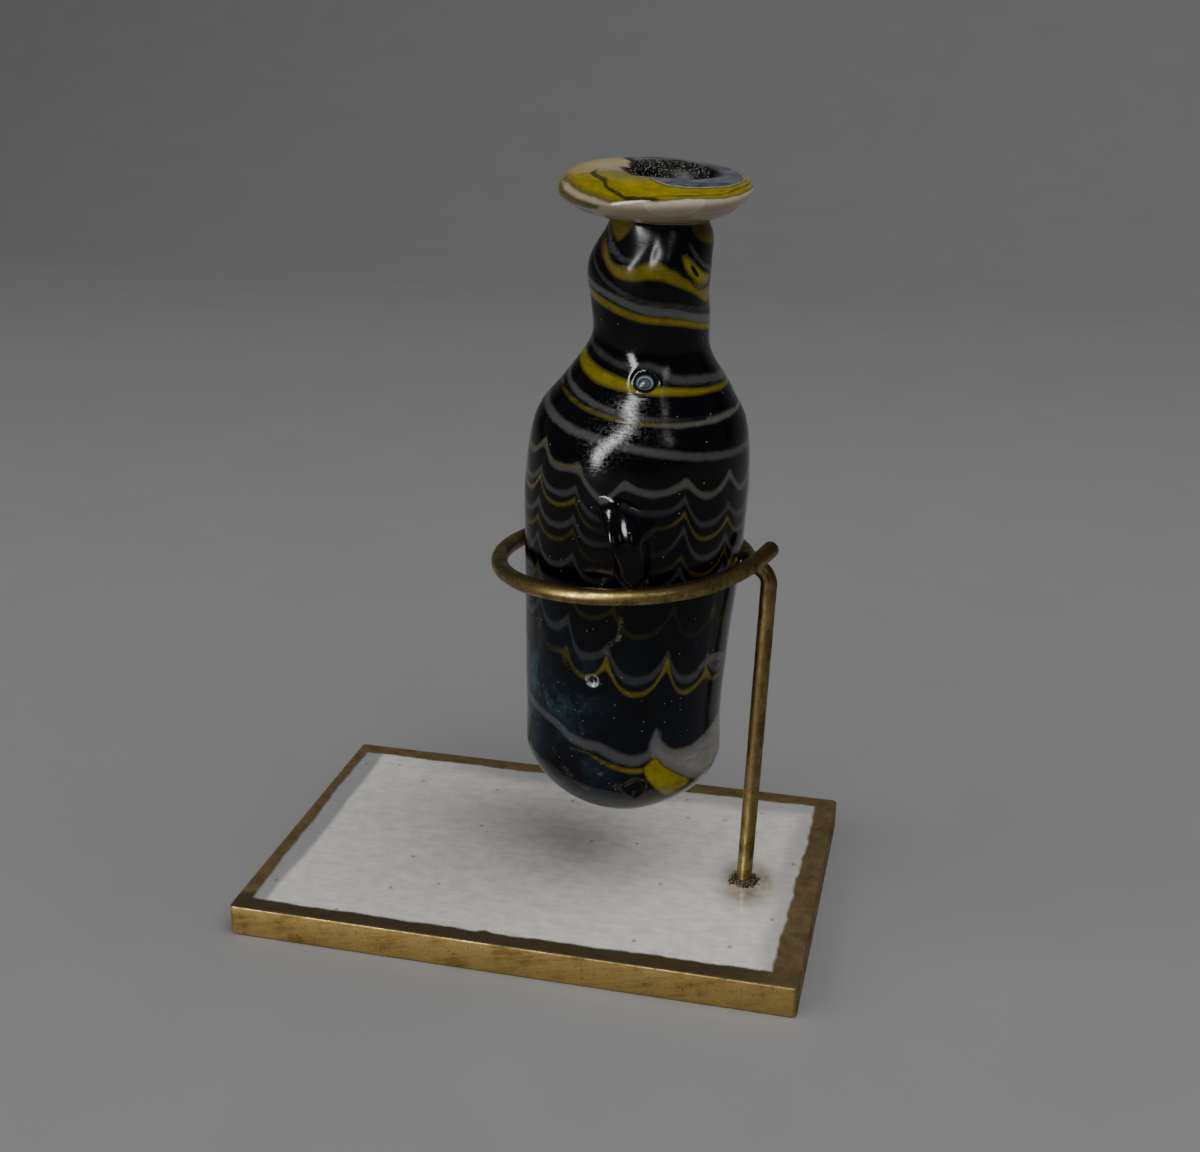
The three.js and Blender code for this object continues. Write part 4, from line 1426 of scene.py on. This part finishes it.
    # Level drag lines left by turning the thread on, and the pitted skin of the shoulder.
    pitted = add("Math", (fine, add("MapRange", (at["shoulder"], 0.0, 1.0, 0.1, 0.5))), **TIMES)
    relief = add("Math", (add("Math", (scratches, 0.7), **TIMES), pitted), **PLUS)
    relief = add("Math", (relief, add("Math", (1.0, at["plain_skin"]), **MINUS)), **TIMES)
    bump = add("Bump", {"Height": relief, "Strength": 0.5, "Distance": 0.035 * MM})
    give(shader, Base_Color=colour, Roughness=rough, Normal=bump, IOR=1.52, Specular_IOR_Level=0.22)
    return material


def aged_brass(name, dark, bright, streak_scale, roughness, turn=(0, 0, 0)):
    """Brass: a base of metal under a brown patina that is rubbed bright in streaks and patches."""
    material, add, shader, place = new_material(name)
    placed = {"Vector": place, "Scale": streak_scale, "Rotation": turn}
    stretched = add("Mapping", placed, vector_type="TEXTURE")
    streaks = add("TexNoise", (stretched, 0.0, per_mm(0.9), 6.0, 0.68))
    blotches = add("TexNoise", (place, 0.0, per_mm(3.2), 4.0, 0.5))
    pits = add("TexNoise", (place, 0.0, per_mm(0.38), 3.0, 0.7))
    both = add("Math", (streaks, blotches), **PLUS)
    worn = add("MapRange", (both, 0.74, 1.26))
    colour = laid_over(add, dark, (worn, bright), (add("MapRange", (pits, 0.6, 0.7)), "#2a2216"))
    rough = add("MapRange", (both, 0.8, 1.25, roughness + 0.16, roughness - 0.06))
    relief = add("Math", (streaks, pits), **PLUS)
    bump = add("Bump", {"Height": relief, "Strength": 0.5, "Distance": 0.05 * MM})
    give(shader, Base_Color=colour, Roughness=rough, Normal=bump, Metallic=1.0)
    return material


def coated_face():
    """The plate's top: a pale satin coat, mottled and scratched, inside a border of brass gone brown with
    age, with painted shade under the bottle and along the border's front.
    """
    material, add, shader, place = new_material("pale_satin_coat_on_brass")
    names = ("bare", "grey", "stain", "painted_front_shade")
    at = {name: add("Attribute", out="Fac", attribute_name=name) for name in names}
    wiped = add("Mapping", {"Vector": place, "Rotation": (0, 0, -0.6), "Scale": (0.4, 1.6, 1)})
    mottle = add("TexNoise", (place, 0.0, per_mm(2.4), 5.0, 0.6))
    wipes = add("TexNoise", (wiped, 0.0, per_mm(1.6), 5.0, 0.65))
    patina = add("TexNoise", (place, 0.0, per_mm(2.6), 5.0, 0.65))
    fine = add("TexNoise", (place, 0.0, per_mm(0.5), 3.0, 0.6))

    # Specks of dirt: one cell in a few holds one.
    cell = {"Vector": place, "Scale": per_mm(6.5)}
    cells = add("TexVoronoi", cell, out="Distance", feature="F1", voronoi_dimensions="2D")
    chosen = add("SeparateColor", {"Color": cells.node.outputs["Color"]})
    spot = add("Math", (cells, add("MapRange", (fine, 0.3, 0.7, -0.02, 0.02))), **PLUS)
    specks = add("Math", (add("MapRange", (spot, 0.07, 0.03)), add("Math", (chosen, 0.7), **ABOVE)), **TIMES)
    clouds = add("MapRange", (add("Math", (mottle, wipes), **PLUS), 0.8, 1.2))
    stain = add("Math", (at["stain"], add("MapRange", (mottle, 0.35, 0.65, 0.5, 1.0))), **TIMES)
    # The coat's grey includes the painted shade under the bottle.
    coat = laid_over(
        add,
        "#c6c3bd",
        (clouds, "#dbd8d1"),
        (add("Math", (at["grey"], 0.85), **TIMES), "#858588"),
        (add("Math", (specks, 0.6), **TIMES), "#5d584f"),
        (stain, "#766b58"),
    )

    worn = add("MapRange", (patina, 0.35, 0.65))
    # The border's front strip is darkened with painted shade.
    brass = laid_over(add, "#584a2f", (worn, "#73623f"), (at["painted_front_shade"], "#352d1c"))
    edge = add("Math", (at["bare"], add("MapRange", (fine, 0.3, 0.7, -0.06, 0.06))), **PLUS)
    bare = add("MapRange", (edge, -0.5, 0.15), **SOFT)
    relief = add("Math", (mottle, add("Math", (wipes, 0.6), **TIMES)), **PLUS)
    give(
        shader,
        Base_Color=laid_over(add, coat, (bare, brass)),
        Metallic=add("Math", (bare, 0.45), **TIMES),
        Roughness=add("MapRange", (bare, 0.0, 1.0, 0.3, 0.66)),
        Coat_Weight=add("MapRange", (bare, 0.0, 1.0, 0.5, 0.0)),
        Coat_Roughness=0.12,
        Normal=add("Bump", {"Height": relief, "Strength": 0.25, "Distance": 0.06 * MM}),
    )
    return material


def grey_solder():
    """Old solder and grit: dull grey-brown metal with bright broken faces."""
    material, add, shader, place = new_material("old_solder_and_grit")
    broken = add("MapRange", (add("TexNoise", (place, 0.0, per_mm(0.35), 3.0, 0.5)), 0.4, 0.62))
    colour = laid_over(add, "#33291b", (broken, "#7d725a"))
    give(shader, Base_Color=colour, Metallic=0.6, Roughness=0.38)
    return material


def pale_floor():
    """The plain matt floor, which is faintly clouded."""
    material, add, shader, place = new_material("matt_pale_floor")
    clouds = add("TexNoise", (place, 0.0, per_mm(25.0), 2.0, 0.5))
    give(shader, Base_Color=laid_over(add, "#808080", (clouds, "#858585")), Roughness=0.9)
    return material


# Pieces


glass = core_formed_glass()
wire_brass = aged_brass("drawn_brass_wire_patina", "#5a4c2d", "#a6925c", (1, 1, 3), 0.3)
filed_brass = aged_brass("filed_brass_edge", "#6b562e", "#ad945a", (5.5, 5.5, 0.5), 0.5, (0, -0.24, 0))
coating = coated_face()
solder = grey_solder()

bottle = make_bottle()
bottle.data.materials.append(glass)
wire = make_wire(wire_brass)
plate = make_plate()
for finish in (filed_brass, coating):
    plate.data.materials.append(finish)
fillet = make_foot_fillet()
fillet.data.materials.append(solder)
crumbs = make_crumbs(solder)

for piece in (bottle, wire, plate, fillet, crumbs):
    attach(piece, "root")
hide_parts("bottle")
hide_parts("wire_stand")
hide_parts("base_plate")


# Stage: a plain pale floor, soft lights and the camera at the photograph's angle


def make_floor():
    """A level floor that sweeps up behind into a wall."""
    half, near, bend, radius, top = 2500.0, -2500.0, 500.0, 600.0, 2500.0
    profile = [(near, 0.0)]
    for turn in np.radians(np.linspace(0, 90, 25)):
        profile.append((bend + radius * math.sin(turn), radius * (1 - math.cos(turn))))
    profile.append((bend + radius, top))
    vertices = [(x, y, z) for y, z in profile for x in (-half, half)]
    faces = [(2 * k, 2 * k + 1, 2 * k + 3, 2 * k + 2) for k in range(len(profile) - 1)]
    made = mesh_object("floor", vertices, faces)
    made.data.materials.append(pale_floor())
    return made


make_floor()


def direction(azimuth, elevation):
    """The way from the bottle to an azimuth and elevation, in degrees."""
    turn, rise = math.radians(azimuth), math.radians(elevation)
    return Vector((math.sin(turn) * math.cos(rise), -math.cos(turn) * math.cos(rise), math.sin(rise)))


# The middle of the bottle, in mm, which every light faces.
LIGHT_TARGET = (10, -3, 55)


def soft_light(name, low_end, high_end, distance, width, power):
    """A strip of light that faces the bottle, from one azimuth and elevation seen from it to another."""
    target = Vector(LIGHT_TARGET) * MM
    low, high = direction(*low_end) * distance, direction(*high_end) * distance
    away = (low + high).normalized()
    length = high - low
    upward = (length - away * length.dot(away)).normalized()
    data = bpy.data.lights.new(name, "AREA")
    data.shape = "RECTANGLE"
    data.size = width
    data.size_y = length.length
    data.energy = power
    made = bpy.data.objects.new(name, data)
    turn = Matrix((upward.cross(away), upward, away)).transposed().to_4x4()
    made.matrix_world = Matrix.Translation(target + (low + high) / 2) @ turn
    bpy.context.scene.collection.objects.link(made)
    return made


# The strips are there for the glass and brass to mirror; the broad light above does the lighting.
for strip in (
    soft_light("slanting_window_left", (-33, -1), (-3, 50), 0.9, 0.12, 12.0),
    soft_light("small_window_right", (40, 22), (39, 42), 1.1, 0.08, 0.6),
):
    strip.visible_diffuse = False
for lamp in (
    soft_light("overhead", (60, 40), (56, 84), 1.1, 1.1, 10.0),
    soft_light("fill_left", (-62, 12), (-50, 48), 1.1, 0.8, 4.0),
):
    lamp.visible_glossy = False

world = bpy.data.worlds.new("studio_air")
world.use_nodes = True
world.node_tree.nodes["Background"].inputs["Color"].default_value = linear("#8a8b8f")
world.node_tree.nodes["Background"].inputs["Strength"].default_value = 0.42
bpy.context.scene.world = world

# Where the camera stands in mm, which way it is seen from the object in degrees, and its lens.
CAMERA_PLACE = (58.43, -210.14, 136.94)
CAMERA_AZIMUTH = 13.532
CAMERA_ELEVATION = 21.243
CAMERA_ROLL = 0.253
PHOTO_WIDTH = 1200
FOCAL_PIXELS = 1561.895
SENSOR_WIDTH = 36.0


def make_camera():
    """The camera, placed and turned so that it sees what the photograph shows."""
    roll = math.radians(CAMERA_ROLL)
    back = direction(CAMERA_AZIMUTH, CAMERA_ELEVATION)
    right = Vector((0, 0, 1)).cross(back).normalized()
    upward = back.cross(right)
    rolled_right = right * math.cos(roll) + upward * math.sin(roll)
    rolled_up = upward * math.cos(roll) - right * math.sin(roll)
    data = bpy.data.cameras.new("camera")
    data.sensor_fit = "HORIZONTAL"
    data.sensor_width = SENSOR_WIDTH
    data.lens = SENSOR_WIDTH * FOCAL_PIXELS / PHOTO_WIDTH
    data.clip_start = 0.01
    made = bpy.data.objects.new("camera", data)
    turn = Matrix((rolled_right, rolled_up, back)).transposed().to_4x4()
    made.matrix_world = Matrix.Translation(Vector(CAMERA_PLACE) * MM) @ turn
    bpy.context.scene.collection.objects.link(made)
    bpy.context.scene.camera = made


make_camera()
